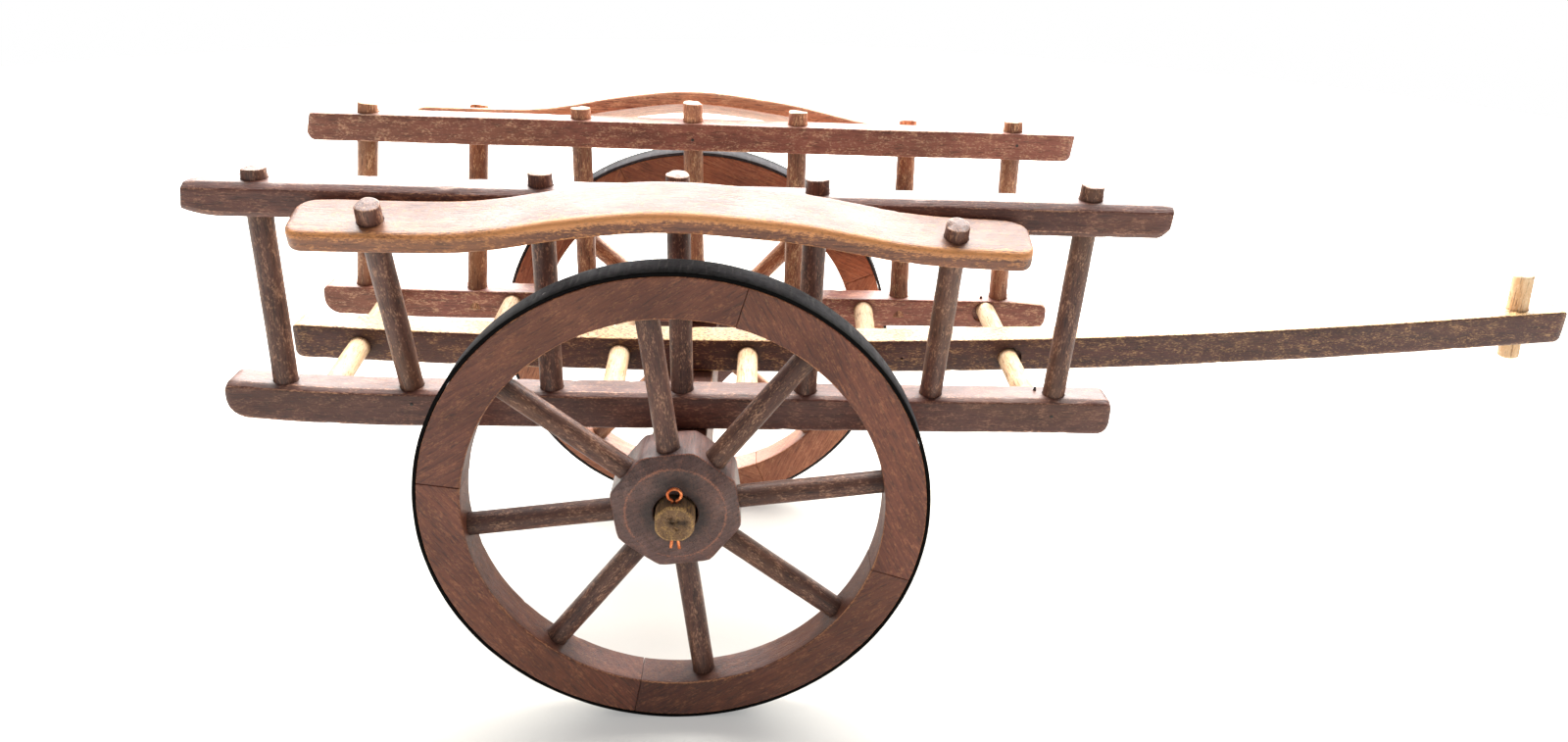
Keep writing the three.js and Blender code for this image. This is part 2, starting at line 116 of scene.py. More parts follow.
RIGHT = dict(
    side=-1, wood=lambda: (STAINED, STICK, RIM, BOARD), name="right",
    foot=[-178.9, -122.8, -59.5, 0.5, 58.2, 117.5, 176.9],
    head=[-178.2, -122.8, -59.0, -0.3, 60.1, 118.1, 181.5], top=[258.1, 8.2, 259.5, 260.2, 260.0, 6.6, 260.4],
    sill=(-203.8, 203.9), rail=(-206.5, 217.5), guard=(-155.2, 150.8), tilt=LEAN, thick=9.0, peg_out=2.2,
    droop=0.0, sill_top=156.8, sill_bevel=(3.0, 1.6), lift=0.0, rise=3.8, phase=7.3,
    rail_back=dict(narrow=(9.5, 23), under=(2.8, 13), rake=2.2),
    rail_front=dict(narrow=(6.5, 11), under=(3.4, 4.5), rake=1.2), joints=[74.0, 172.5, 259.4, 342.0],
    # painted light and shade per felloe: the felloe at the bottom of the wheel is darkest
    felloe_painted_shade=[0.05, 0.08, -0.22, 0.05]
)
LEFT = dict(
    # the left side's woods are the right side's woods painted lighter, for the light on that side: painted light
    side=1, wood=lambda: (STAINED_LEFT_PAINTED_LIT, STICK_LEFT_PAINTED_LIT, RIM_LEFT_PAINTED_LIT, BOARD_LEFT_PAINTED_LIT), name="left",
    foot=[-184.4, -123.6, -61.5, -1.0, 55.5, 116.6, 175.3],
    head=[-173.8, -121.6, -61.4, -1.4, 55.3, 119.0, 174.1], top=[258.6, 3.9, 259.1, 263.6, 260.6, 6.5, 259.4],
    sill=(-206.3, 203.0), rail=(-204.8, 207.6), guard=(-153.5, 152.0), tilt=math.radians(23.5), thick=7.5,
    peg_out=0.0, droop=2.4, sill_top=155.5, sill_bevel=(1.2, 1.2), lift=4.0, rise=1.5, phase=2.5,
    rail_back=dict(narrow=(2.0, 4), under=(3.6, 4.5), rake=3.4),
    rail_front=dict(narrow=(2.0, 4), under=(1.6, 2.5), rake=1.5), joints=[22.8, 113.0, 203.5, 292.4],
    # painted light and shade per felloe
    felloe_painted_shade=[0.05, 0.0, 0.0, 0.0]
)
RUNGS = [
    (-162.4, -169.4, 150.2, 69.0), (-100.6, -102.6, 148.4, 69.0), (-33.6, -37.6, 148.2, 69.0),
    (30.6, 30.2, 148.2, 69.0), (91.6, 96.0, 148.6, 69.0), (166.8, 167.2, 149.6, 59.9)
]
GUARD_WAVE = [
    (-156, 0.6), (-120, 0.5), (-92, 0.9), (-72, 3.3), (-48, 8.2), (-20, 12.4), (-2, 13.4), (20, 12.6),
    (52, 9.4), (76, 5.0), (97, 1.1), (118, -0.8), (153, -2.0)
]


def world(p):
    """Millimetres from the axle -> metres in the shared frame."""
    return Vector(((p[0] + AXLE_X) * MM, p[1] * MM, p[2] * MM))


def vec(*p):
    return np.array(p, float)


def unit(v):
    return v / np.linalg.norm(v)


def draw_in(d, r):
    """How far an end rounded to radius r draws in at distance d from its tip."""
    return 0.0 if d >= r else r - math.sqrt(max(0.0, r * r - (r - d) ** 2))


def hum(x, channel, scale=30.0):
    """A slow wobble along a length, from -1 to 1."""
    return noise.noise(Vector((x / scale, channel * 7.31, channel * 1.7)))


def stations(low, high, ends, step):
    """Positions from low to high: close together at the two ends, then one step apart."""
    inner = np.linspace(low + ends[-1], high - ends[-1], max(2, round((high - low - 2 * ends[-1]) / step) + 1))
    return [low + e for e in ends[:-1]] + list(inner) + [high - e for e in reversed(ends[:-1])]


# ------------------------------------------------------------ materials
def linear(rgb):
    return tuple(((c / 255 + 0.055) / 1.055) ** 2.4 if c > 10 else c / 255 / 12.92 for c in rgb) + (1.0,)


class Nodes:
    """Small helper that adds shader nodes and links them by name."""

    def __init__(self, name):
        self.material = bpy.data.materials.new(name)
        self.material.use_nodes = True
        self.tree = self.material.node_tree
        self.tree.nodes.clear()
        self.output = self.tree.nodes.new("ShaderNodeOutputMaterial")
        self.shader = self.tree.nodes.new("ShaderNodeBsdfPrincipled")
        self.tree.links.new(self.shader.outputs["BSDF"], self.output.inputs["Surface"])

    def put(self, socket, value):
        if isinstance(value, bpy.types.NodeSocket):
            self.tree.links.new(value, socket)
        else:
            socket.default_value = value

    def add(self, kind, out=0, inputs=None, **settings):
        node = self.tree.nodes.new(kind)
        for key, value in settings.items():
            setattr(node, key, value)
        for key, value in (inputs or {}).items():
            self.put(node.inputs[key], value)
        return node.outputs[out]

    def math(self, operation, a, b):
        return self.add("ShaderNodeMath", inputs={0: a, 1: b}, operation=operation)

    def plus(self, a, b):
        return self.math("ADD", a, b)

    def minus(self, a, b):
        return self.math("SUBTRACT", a, b)

    def times(self, a, b):
        return self.math("MULTIPLY", a, b)

    def set(self, name, value):
        self.put(self.shader.inputs[name], value)

    def bump(self, strength, distance, height):
        return self.add("ShaderNodeBump", inputs={"Strength": strength, "Distance": distance, "Height": height})

    def ramp(self, value, low, high, to_low=0.0, to_high=1.0):
        return self.add(
            "ShaderNodeMapRange",
            inputs={"Value": value, "From Min": low, "From Max": high, "To Min": to_low, "To Max": to_high},
            interpolation_type="SMOOTHSTEP"
        )

    def mix(self, factor, a, b):
        node = self.tree.nodes.new("ShaderNodeMix")
        node.data_type = "RGBA"
        node.clamp_factor = True
        self.put(node.inputs[0], factor)
        self.put(node.inputs[6], a)
        self.put(node.inputs[7], b)
        return node.outputs[2]

    def attribute(self, name):
        return self.add("ShaderNodeAttribute", out=2, attribute_name=name)

    def point(self):
        """The piece's own grain coordinates in metres, X along the fibres; each piece has its own place in the wood."""
        return self.add("ShaderNodeAttribute", out=1, attribute_name="grain")

    def noise(self, point, scale, detail=3.0, rough=0.55, distortion=0.0):
        placed = self.add("ShaderNodeMapping", inputs={"Vector": point, "Scale": scale})
        return self.add(
            "ShaderNodeTexNoise",
            inputs={
                "Vector": placed, "Scale": 1.0, "Detail": detail, "Roughness": rough, "Distortion": distortion
            }
        )


def wood(
    name, dark, base, light, worn, grime_and_shade_colour, tint, streak_scale=(7, 130, 130), fleck=0.5, pore=0.5, ring=0.0,
    pale_to=None, rough=(0.42, 0.66), bump=0.4, wear_reach=(0.7, 1.2), coat=0.0, mottled=0.5
):
    """Solid wood, its fibres along the piece's own X: streaks, flecks, pores, blotches, worn edges, grime and painted
    shade.
    """
    n = Nodes(name)
    p = n.point()
    streak = n.noise(p, streak_scale, 5, 0.62, 0.4)
    fibre = n.noise(p, (60, 950, 950), 3, 0.6)
    blotch = n.noise(p, (22, 38, 38), 3, 0.55)
    patch = n.noise(p, (9, 26, 26), 2, 0.5, 0.6)
    pores = n.noise(p, (130, 1500, 1500), 2, 0.5)
    speck = n.noise(p, (560, 1500, 1500), 3, 0.65)
    mottle = n.noise(p, (120, 300, 300), 3, 0.6)
    grit = n.noise(p, (900, 1300, 1300), 2, 0.6)
    tone = n.plus(n.times(streak, 0.45), n.times(fibre, 0.2))
    tone = n.plus(tone, n.plus(n.times(speck, 0.15), n.times(mottle, 0.2)))
    if ring:
        placed = n.add(
            "ShaderNodeMapping", inputs={"Vector": p, "Location": (0.0, 0.03, 0.045), "Scale": (1.2, 9, 9)}
        )
        rings = n.add(
            "ShaderNodeTexWave", out=1,
            inputs={
                "Vector": placed, "Scale": 13.0, "Distortion": 4.0, "Detail": 2.0, "Detail Scale": 0.8,
                "Detail Roughness": 0.5
            },
            wave_type="RINGS", rings_direction="X", wave_profile="SAW"
        )
        tone = n.plus(n.times(tone, 1 - ring), n.times(rings, ring))
    colour = n.mix(n.ramp(tone, 0.34, 0.54), linear(dark), linear(base))
    colour = n.mix(n.times(n.ramp(tone, 0.5, 0.68), 0.8), colour, linear(light))
    colour = n.mix(n.times(n.ramp(patch, 0.45, 0.7), 0.5), colour, linear(tint))
    colour = n.mix(n.times(n.ramp(blotch, 0.42, 0.68), mottled), colour, linear(dark))
    colour = n.mix(n.times(n.ramp(pores, 0.54, 0.66), pore), colour, linear(grime_and_shade_colour))
    flecks = n.ramp(n.plus(n.times(speck, 0.6), n.times(mottle, 0.4)), 0.5, 0.66)
    colour = n.mix(n.times(flecks, fleck), colour, linear(worn))
    if pale_to is not None:
        pale = n.plus(n.attribute("pale"), n.times(n.minus(grit, 0.5), 0.6))
        speckled = n.mix(n.ramp(speck, 0.42, 0.56), linear(light), linear(pale_to))
        colour = n.mix(n.ramp(pale, 0.35, 0.65), colour, speckled)
    # Brightness from the shade attribute: a random tone per piece, lighter pegs, and painted light and shade on the
    # rims.
    colour = n.add(
        "ShaderNodeHueSaturation",
        inputs={"Color": colour, "Value": n.ramp(n.attribute("shade"), -1.0, 1.0, 0.45, 1.55)}
    )
    wear = n.plus(
        n.attribute("edge"), n.plus(n.times(n.minus(blotch, 0.5), 1.1), n.times(n.minus(speck, 0.5), 1.3))
    )
    worn_mask = n.ramp(wear, wear_reach[0], wear_reach[1])
    colour = n.mix(n.times(worn_mask, 0.72), colour, linear(worn))
    # Darkened towards the dark colour near given spots: grime, and painted shade where parts meet.
    grime_and_shade_mask = n.times(n.attribute("grime_and_painted_shade"), n.ramp(blotch, 0.2, 0.7, 0.65, 1.0))
    colour = n.mix(grime_and_shade_mask, colour, linear(grime_and_shade_colour))
    n.set("Base Color", colour)
    shine = n.plus(n.times(speck, 0.6), n.times(blotch, 0.4))
    n.set("Roughness", n.ramp(shine, 0.35, 0.65, rough[0], rough[1]))
    n.set("Specular IOR Level", 0.35)
    n.set("Coat Weight", coat)
    n.set("Coat Roughness", 0.34)
    height = n.plus(n.times(fibre, 0.5), n.times(streak, 0.4))
    height = n.plus(height, n.times(speck, 0.7))
    height = n.minus(height, n.times(n.ramp(pores, 0.54, 0.66), 0.3))
    relief = n.bump(bump, 0.0006, height)
    n.set("Normal", relief)
    return n.material


STAINED = wood(
    "stained wood", dark=(65, 35, 29), base=(95, 55, 46), light=(121, 77, 63), worn=(196, 144, 112),
    grime_and_shade_colour=(34, 21, 18), tint=(95, 59, 39), coat=0.2, fleck=0.35
)
# The four left-side woods below are copies of the right side's woods painted lighter, for the light that falls on the
# left side: painted light.
STAINED_LEFT_PAINTED_LIT = wood(
    "stained wood, left side", dark=(104, 58, 47), base=(148, 88, 72), light=(176, 116, 95),
    worn=(236, 188, 150), grime_and_shade_colour=(46, 28, 23), tint=(126, 81, 56), fleck=0.6, coat=0.2
)
STICK = wood(
    "stained dowel", dark=(62, 37, 32), base=(93, 60, 50), light=(128, 88, 73), worn=(196, 148, 116),
    grime_and_shade_colour=(34, 23, 20), tint=(104, 70, 47), streak_scale=(16, 210, 210), fleck=0.55, pore=0.6, coat=0.1
)
STICK_LEFT_PAINTED_LIT = wood(
    "stained dowel, left side", dark=(112, 72, 54), base=(164, 110, 82), light=(206, 152, 112),
    worn=(240, 196, 150), grime_and_shade_colour=(48, 32, 26), tint=(160, 112, 74), streak_scale=(16, 210, 210), fleck=0.65,
    pore=0.6, coat=0.1
)
RIM = wood(
    "rim wood", dark=(79, 40, 28), base=(111, 59, 42), light=(137, 79, 55), worn=(196, 134, 92),
    grime_and_shade_colour=(38, 24, 20), tint=(118, 65, 37), streak_scale=(10, 80, 80), ring=0.12, fleck=0.3, coat=0.15
)
RIM_LEFT_PAINTED_LIT = wood(
    "rim wood, left side", dark=(124, 72, 52), base=(168, 104, 74), light=(196, 130, 94), worn=(214, 152, 112),
    grime_and_shade_colour=(46, 30, 24), tint=(158, 102, 66), streak_scale=(10, 80, 80), ring=0.12, fleck=0.35, coat=0.15
)
BOARD = wood(
    "guard wood", dark=(85, 50, 37), base=(118, 73, 53), light=(153, 97, 66), worn=(222, 152, 92),
    grime_and_shade_colour=(38, 24, 20), tint=(138, 85, 44), streak_scale=(9, 110, 110), ring=0.1, fleck=0.45, coat=0.3,
    wear_reach=(0.45, 0.95)
)
BOARD_LEFT_PAINTED_LIT = wood(
    "guard wood, left side", dark=(160, 100, 74), base=(214, 148, 112), light=(236, 180, 140),
    worn=(244, 196, 150), grime_and_shade_colour=(50, 32, 26), tint=(214, 150, 104), streak_scale=(9, 110, 110), ring=0.1,
    fleck=0.5, coat=0.2, wear_reach=(0.5, 1.05)
)
HUB = wood(
    "hub wood", dark=(72, 51, 48), base=(103, 78, 74), light=(134, 104, 93), worn=(176, 112, 84),
    grime_and_shade_colour=(22, 17, 18), tint=(114, 76, 66), streak_scale=(9, 80, 80), ring=0.1, fleck=0.3, coat=0.2
)
PALE = wood(
    "pale dowel", dark=(196, 150, 108), base=(226, 192, 152), light=(240, 216, 182), worn=(246, 226, 196),
    grime_and_shade_colour=(110, 74, 52), tint=(222, 178, 130), streak_scale=(30, 260, 260), fleck=0.5, pore=0.6,
    rough=(0.55, 0.8), mottled=0.35
)
POLE = wood(
    "pole wood", dark=(55, 31, 27), base=(81, 46, 40), light=(108, 65, 53), worn=(214, 166, 112),
    grime_and_shade_colour=(34, 22, 18), tint=(89, 54, 39), pale_to=(236, 196, 136), coat=0.15
)
AXLE = wood(
    "axle wood", dark=(100, 76, 56), base=(146, 114, 84), light=(184, 146, 98), worn=(214, 170, 104),
    grime_and_shade_colour=(26, 20, 17), tint=(156, 120, 70), streak_scale=(14, 160, 160), bump=0.6, rough=(0.6, 0.85)
)


def tyre_material():
    n = Nodes("tyre band")
    p = n.point()
    cloud = n.noise(p, (26, 26, 26), 4, 0.6)
    fine = n.noise(p, (420, 420, 420), 4, 0.65)
    scuff = n.noise(p, (60, 500, 60), 3, 0.6)
    colour = n.mix(n.ramp(cloud, 0.35, 0.7), linear((46, 45, 47)), linear((66, 65, 69)))
    colour = n.mix(n.times(n.ramp(scuff, 0.5, 0.75), 0.5), colour, linear((92, 89, 88)))
    colour = n.mix(n.times(n.ramp(fine, 0.52, 0.72), 0.35), colour, linear((14, 13, 14)))
    # Painted near black along the band's outer edge.
    colour = n.mix(n.attribute("grime_and_painted_shade"), colour, linear((10, 9, 9)))
    # A pale line on the band's inner side by the rim: wear, with a painted highlight.
    worn_line_and_highlight = n.times(n.attribute("pale"), n.ramp(scuff, 0.35, 0.55))
    n.set("Base Color", n.mix(worn_line_and_highlight, colour, linear((214, 196, 178))))
    n.set("Specular IOR Level", 0.05)
    n.set("Roughness", n.ramp(fine, 0.3, 0.75, 0.65, 0.85))
    height = n.plus(n.times(fine, 0.6), n.times(scuff, 0.5))
    n.set("Normal", n.bump(0.3, 0.0004, height))
    return n.material


def metal_material(name, bright, dull, tarnish, rough, metallic=1.0):
    n = Nodes(name)
    p = n.point()
    cloud = n.noise(p, (260, 260, 260), 4, 0.6)
    fine = n.noise(p, (1500, 1500, 1500), 3, 0.6)
    colour = n.mix(n.ramp(cloud, 0.4, 0.62), linear(bright), linear(dull))
    colour = n.mix(n.times(n.ramp(fine, 0.54, 0.7), 0.6), colour, linear(tarnish))
    colour = n.mix(n.attribute("grime_and_painted_shade"), colour, linear(tarnish))
    n.set("Base Color", colour)
    n.set("Metallic", metallic)
    n.set("Roughness", n.ramp(cloud, 0.35, 0.65, rough[0], rough[1]))
    n.set("Normal", n.bump(0.25, 0.0002, fine))
    return n.material


TYRE = tyre_material()
COPPER = metal_material("copper pin", (226, 140, 92), (186, 98, 60), (70, 38, 28), (0.22, 0.42))
NAIL = metal_material("dark nail", (92, 88, 86), (58, 54, 52), (26, 20, 18), (0.35, 0.6), 0.8)


# ------------------------------------------------------------ meshes
def outline(corners, radii, spans, arc=4):
    """A closed outline of (u, v) points with its corners rounded, how much of an edge each point is, and its corner.
    The number of points is the same for any size, so that outlines can be skinned one to the next."""
    points, edge, which = [], [], []
    count = len(corners)
    corners = [np.array(c, float) for c in corners]
    for i, corner in enumerate(corners):
        before, after = corners[i - 1], corners[(i + 1) % count]
        r_in = min(radii[i], 0.48 * np.linalg.norm(before - corner))
        r_out = min(radii[i], 0.48 * np.linalg.norm(after - corner))
        a = corner + unit(before - corner) * r_in
        b = corner + unit(after - corner) * r_out
        for k in range(arc + 1):
            t = k / arc
            points.append((1 - t) ** 2 * a + 2 * t * (1 - t) * corner + t * t * b)
            edge.append(1 - abs(2 * t - 1) * 0.55)
            which.append(i)
        r_next = min(radii[(i + 1) % count], 0.48 * np.linalg.norm(after - corner))
        end = after + unit(corner - after) * r_next
        for k in range(1, spans[i]):
            points.append(b + (end - b) * k / spans[i])
            edge.append(0.0)
            which.append(-1)
    return np.array(points), np.array(edge), np.array(which)


def skinned(xs, outline_at, place, closed=False, rings=(0.82, 0.55, 0.26)):
    """Skins outlines at xs; place(x, u, v) gives a point. Open ends are closed with rings, so they can be uneven."""
    points, edges, chip = [], [], []
    for x in xs:
        uv, edge, which = outline_at(x)
        points.append(np.array([place(x, u, v) for u, v in uv]))
        edges.append(edge)
        chip.append(which)
    n = len(points[0])
    faces = []
    total = len(xs) if closed else len(xs) - 1
    for s in range(total):
        t = (s + 1) % len(xs)
        for k in range(n):
            k1 = (k + 1) % n
            faces.append((s * n + k, s * n + k1, t * n + k1, t * n + k))
    verts, weight, corner = list(points), list(edges), list(chip)
    if not closed:
        start = len(xs) * n
        for ring_at in (0, len(xs) - 1):
            middle = points[ring_at].mean(0)
            last = ring_at * n
            for share in rings:
                verts.append(middle + (points[ring_at] - middle) * share)
                weight.append(np.zeros(n))
                corner.append(np.full(n, -1))
                for k in range(n):
                    k1 = (k + 1) % n
                    faces.append((last + k, last + k1, start + k1, start + k))
                last = start
                start += n
            verts.append(middle[None])
            weight.append(np.zeros(1))
            corner.append(np.full(1, -1))
            for k in range(n):
                faces.append((last + k, last + (k + 1) % n, start))
            start += 1
    return np.concatenate(verts), faces, np.concatenate(weight), np.concatenate(corner)


def chip_edges(points, weight, corner, xs_of, centre_of, rng, spacing, depth, length):
    """Small bites out of the long edges: each pulls its edge towards the middle of the section."""
    low, high = xs_of.min(), xs_of.max()
    for c in sorted(set(corner.tolist()) - {-1}):
        on = corner == c
        x = low
        while x < high:
            x += rng.expovariate(1 / spacing)
            d = rng.uniform(0.3, 1.0) ** 2 * depth
            reach = rng.uniform(*length)
            near = on & (np.abs(xs_of - x) < 3 * reach)
            if not near.any():
                continue
            pull = d * np.exp(-(((xs_of[near] - x) / reach) ** 2)) * weight[near]
            away = centre_of[near] - points[near]
            away /= np.maximum(np.linalg.norm(away, axis=1, keepdims=True), 1e-6)
            points[near] += away * pull[:, None]
    return points


def stacked(rows, sides):
    """Faces over rows of points, each a ring of the same number of sides, with the two end rings closed."""
    faces = []
    for s in range(rows - 1):
        for k in range(sides):
            k1 = (k + 1) % sides
            faces.append((s * sides + k, s * sides + k1, (s + 1) * sides + k1, (s + 1) * sides + k))
    return faces + [tuple(reversed(range(sides))), tuple(range((rows - 1) * sides, rows * sides))]


def tube(a, b, r, sides=28):
    """A plain closed cylinder in millimetres, used to cut bores."""
    a, b = np.array(a, float), np.array(b, float)
    axis = unit(b - a)
    side = unit(np.cross(axis, vec(0, 0, 1) if abs(axis[2]) < 0.9 else vec(1, 0, 0)))
    other = np.cross(axis, side)
    turn = [2 * math.pi * k / sides for k in range(sides)]
    ring = np.array([side * math.cos(t) * r + other * math.sin(t) * r for t in turn])
    points = np.concatenate([ring + a, ring + b])
    return points, stacked(2, sides)


def raw_mesh(name, points, faces):
    mesh = bpy.data.meshes.new(name)
    mesh.from_pydata([tuple(p) for p in points], [], faces)
    b = bmesh.new()
    b.from_mesh(mesh)
    bmesh.ops.remove_doubles(b, verts=b.verts, dist=1e-7)
    bmesh.ops.recalc_face_normals(b, faces=b.faces)
    b.to_mesh(mesh)
    b.free()
    return mesh


def paint(mesh, name, values):
    """Stores one number, or one vector, for each vertex."""
    values = np.asarray(values, np.float32)
    kind, key = ("FLOAT_VECTOR", "vector") if values.ndim == 2 else ("FLOAT", "value")
    layer = mesh.attributes.get(name) or mesh.attributes.new(name, kind, "POINT")
    layer.data.foreach_set(key, values.ravel())


def coordinates(mesh):
    co = np.zeros(len(mesh.vertices) * 3)
    mesh.vertices.foreach_get("co", co)
    return co.reshape(-1, 3)


SEED = [0]


def make(
    name, points, faces, body, material, along=(1, 0, 0), up=(0, 0, 1), edge=None, node=None, slot=None,
    cutters=(), grime_and_shade_spots=(), hand=0.10, sharp=38.0, pale=None, origin=None, shade=0.0
):
    """One piece: points in millimetres, grain along one direction, hand-worked unevenness, bores, and spots darkened by
    grime and by painted shade.
    """
    SEED[0] += 1
    seed = SEED[0] * 0.618034 % 1 * 9 + 1
    where = np.array([world(p) for p in points])
    middle = np.array(world(origin)) if origin is not None else (where.min(0) + where.max(0)) / 2
    x_axis = Vector(along).normalized()
    z_axis = (Vector(up) - Vector(up).project(x_axis)).normalized()
    y_axis = z_axis.cross(x_axis)
    turn = np.array([x_axis, y_axis, z_axis]).T
    shift = np.array([0.37, 0.11, 0.23]) * seed
    mesh = bpy.data.meshes.new(name)
    mesh.from_pydata([tuple(p) for p in where - middle], [], faces)
    paint(mesh, "edge", edge if edge is not None else np.zeros(len(where)))
    b = bmesh.new()
    b.from_mesh(mesh)
    bmesh.ops.remove_doubles(b, verts=b.verts, dist=2e-6)
    bmesh.ops.recalc_face_normals(b, faces=b.faces)
    b.normal_update()
    if hand:
        co = np.array([v.co for v in b.verts]) @ turn
        slow = co * (28, 130, 130) + (seed * 3, 0, 0)
        quick = co * (240, 420, 420) + (0, seed, 0)
        for v, q, r in zip(b.verts, slow, quick):
            v.co += v.normal * (hand * MM * (1.1 * noise.noise(q) + 0.35 * noise.noise(r)))
    b.to_mesh(mesh)
    b.free()
    thing = bpy.data.objects.new(name, mesh)
    bpy.context.scene.collection.objects.link(thing)
    thing.matrix_world = Matrix.Translation(Vector(middle))
    if cutters:
        knives = []
        for cut_points, cut_faces in cutters:
            knife = bpy.data.objects.new("knife", raw_mesh("knife", [world(p) for p in cut_points], cut_faces))
            bpy.context.scene.collection.objects.link(knife)
            knives.append(knife)
            modifier = thing.modifiers.new("bore", "BOOLEAN")
            modifier.operation = "DIFFERENCE"
            modifier.solver = "MANIFOLD"
            modifier.object = knife
        bpy.context.view_layer.update()
        graph = bpy.context.evaluated_depsgraph_get()
        made = bpy.data.meshes.new_from_object(thing.evaluated_get(graph))
        thing.modifiers.clear()
        thing.data = made
        mesh = made
        mesh.name = name
        for knife in knives:
            bpy.data.objects.remove(knife)
    mesh.materials.clear()
    mesh.materials.append(material)
    flat = coordinates(mesh) + middle
    paint(mesh, "grain", (flat - middle) @ turn + shift)
    # Darkening near given spots: grime, and painted shade where parts meet or pass under others.
    grime_and_shade_level = np.zeros(len(flat))
    for spot, reach, strength in grime_and_shade_spots:
        d = np.linalg.norm(flat - np.array(world(spot)), axis=1) / MM
        grime_and_shade_level = np.maximum(grime_and_shade_level, strength * np.clip(1.25 - d / reach, 0, 1))
    paint(mesh, "grime_and_painted_shade", grime_and_shade_level)
    paint(mesh, "shade", shade(flat) if callable(shade) else np.full(len(flat), float(shade)))
    if pale is not None:
        normals = np.zeros(len(mesh.vertices) * 3)
        mesh.vertex_normals.foreach_get("vector", normals)
        paint(mesh, "pale", pale(flat, normals.reshape(-1, 3)))
    mesh.polygons.foreach_set("use_smooth", [True] * len(mesh.polygons))
    mesh.set_sharp_from_angle(angle=math.radians(sharp))
    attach(thing, body)
    if node:
        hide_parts(*([node] if isinstance(node, str) else node))
    return thing


def dowel(
    name, a, b, r, body, material, node, slot, rng, foot=0.6, head=0.9, ragged=0.0, slant=0.0, grime_and_shade_spots=(),
    shade=0.0
):
    """A round stick from a to b with eased ends. At its b end, ragged chips it and slant cuts it askew."""
    sides = 32
    a, b = np.array(a, float), np.array(b, float)
    length = np.linalg.norm(b - a)
    axis = unit(b - a)
    side = unit(np.cross(axis, vec(0, 0, 1) if abs(axis[2]) < 0.8 else vec(1, 0, 0)))
    other = np.cross(axis, side)
    ease = [0, 0.12, 0.35, 0.7, 1.0]
    xs = [e * foot for e in ease] + list(
        np.linspace(foot + 1.2, length - head - 1.2, max(3, round(length / 2.4)))
    )
    xs += [length - e * head for e in reversed(ease)]
    lean = rng.uniform(0, 2 * math.pi)
    tone = rng.uniform(0, 50)
    bites = [
        (rng.uniform(0, 2 * math.pi), rng.uniform(0.25, 0.7), rng.uniform(0.4, 1.0) * ragged) for _ in range(6)
    ]
    points, edge = [], []

    def put(x, share, weight):
        radius = r
        near_end = min(x, length - x)
        reach = foot if x < length / 2 else head
        radius -= draw_in(near_end, reach) if near_end < reach else 0
        for k in range(sides):
            t = 2 * math.pi * k / sides
            c, s = math.cos(t), math.sin(t)
            round_off = 0.10 * noise.noise(Vector((x / 22, c * 0.8 + tone, s * 0.8)))
            rr = (radius + round_off) * share
            at = x
            if length - x < 5:
                fade = 1 - (length - x) / 5
                at -= fade * slant * (1 + math.cos(t - lean)) * rr / r
                for where, width, deep in bites:
                    off = math.atan2(math.sin(t - where), math.cos(t - where))
                    bite = deep * math.exp(-((off / width) ** 2)) * max(0.0, (rr / r - 0.35) / 0.65)
                    at -= bite * fade
                    rr -= bite * 0.45 * fade
                at += 0.12 * noise.noise(
                    Vector((c * share * 3, s * share * 3, tone))
                ) * fade * (1 if share < 1 else 0.3)
            points.append(a + axis * at + (side * c + other * s) * rr)
            edge.append(weight)

    inner = (0.84, 0.6, 0.34, 0.12)
    for share in reversed(inner):
        put(0.0, share, 0.0)
    for x in xs:
        near_end = min(x, length - x)
        put(x, 1.0, 0.9 if near_end < 0.8 * (foot if x < length / 2 else head) else 0.0)
    for share in inner:
        put(length, share, 0.15)
    faces = stacked(len(points) // sides, sides)
    up = vec(0, 1, 0) if abs(axis[1]) < 0.8 else vec(0, 0, 1)
    return make(
        name, points, faces, body, material, along=axis, up=up, edge=edge, node=node, slot=slot, grime_and_shade_spots=grime_and_shade_spots,
        hand=0.09, shade=shade
    )


def peg_shade(a, b, proud, low, high):
    """Shade along a stake: low up to where it comes through its rail or guard, high on the peg above."""
    foot, axis, length = np.array(world(a)), unit(b - a), np.linalg.norm(b - a)

    def shade(at):
        beyond = (at - foot) @ axis / MM - (length - proud)
        return low + (high - low) * np.clip(beyond + 0.5, 0, 1)

    return shade


def bore(a, b, r=DOWEL_R, before=0.0, after=0.0, gap=GAP, sides=28):
    a, b = np.array(a, float), np.array(b, float)
    axis = unit(b - a)
    return tube(a - axis * before, b + axis * after, r + gap, sides)


# ------------------------------------------------------------ lines shared by several pieces
def spline(points):
    """Uniform Catmull-Rom curve through the points, as the CAD's wave is drawn."""
    out = []
    last = len(points) - 1
    total = 240
    for i in range(total + 1):
        at = last * i / total
        k = min(int(at), last)
        t = at - k
        p0, p1 = points[max(k - 1, 0)], points[k]
        p2, p3 = points[min(k + 1, last)], points[min(k + 2, last)]
        row = []
        for d in (0, 1):
            v0, v1 = (p2[d] - p0[d]) / 2, (p3[d] - p1[d]) / 2
            row.append(
                (2 * p1[d] - 2 * p2[d] + v0 + v1) * t**3 + (-3 * p1[d] + 3 * p2[d] - 2 * v0 - v1) * t * t
                + v0 * t + p1[d]
            )
        out.append(row)
    return np.array(out)


WAVE = spline(GUARD_WAVE)


def guard_height(s, x):
    """Height of a side's guard over its straight ends: the left one falls away a little towards its front end."""
    return float(
        np.interp(x, WAVE[:, 0], WAVE[:, 1])
    ) + s["lift"] - s["droop"] * min(1.0, max(0.0, (x - 5) / 75))


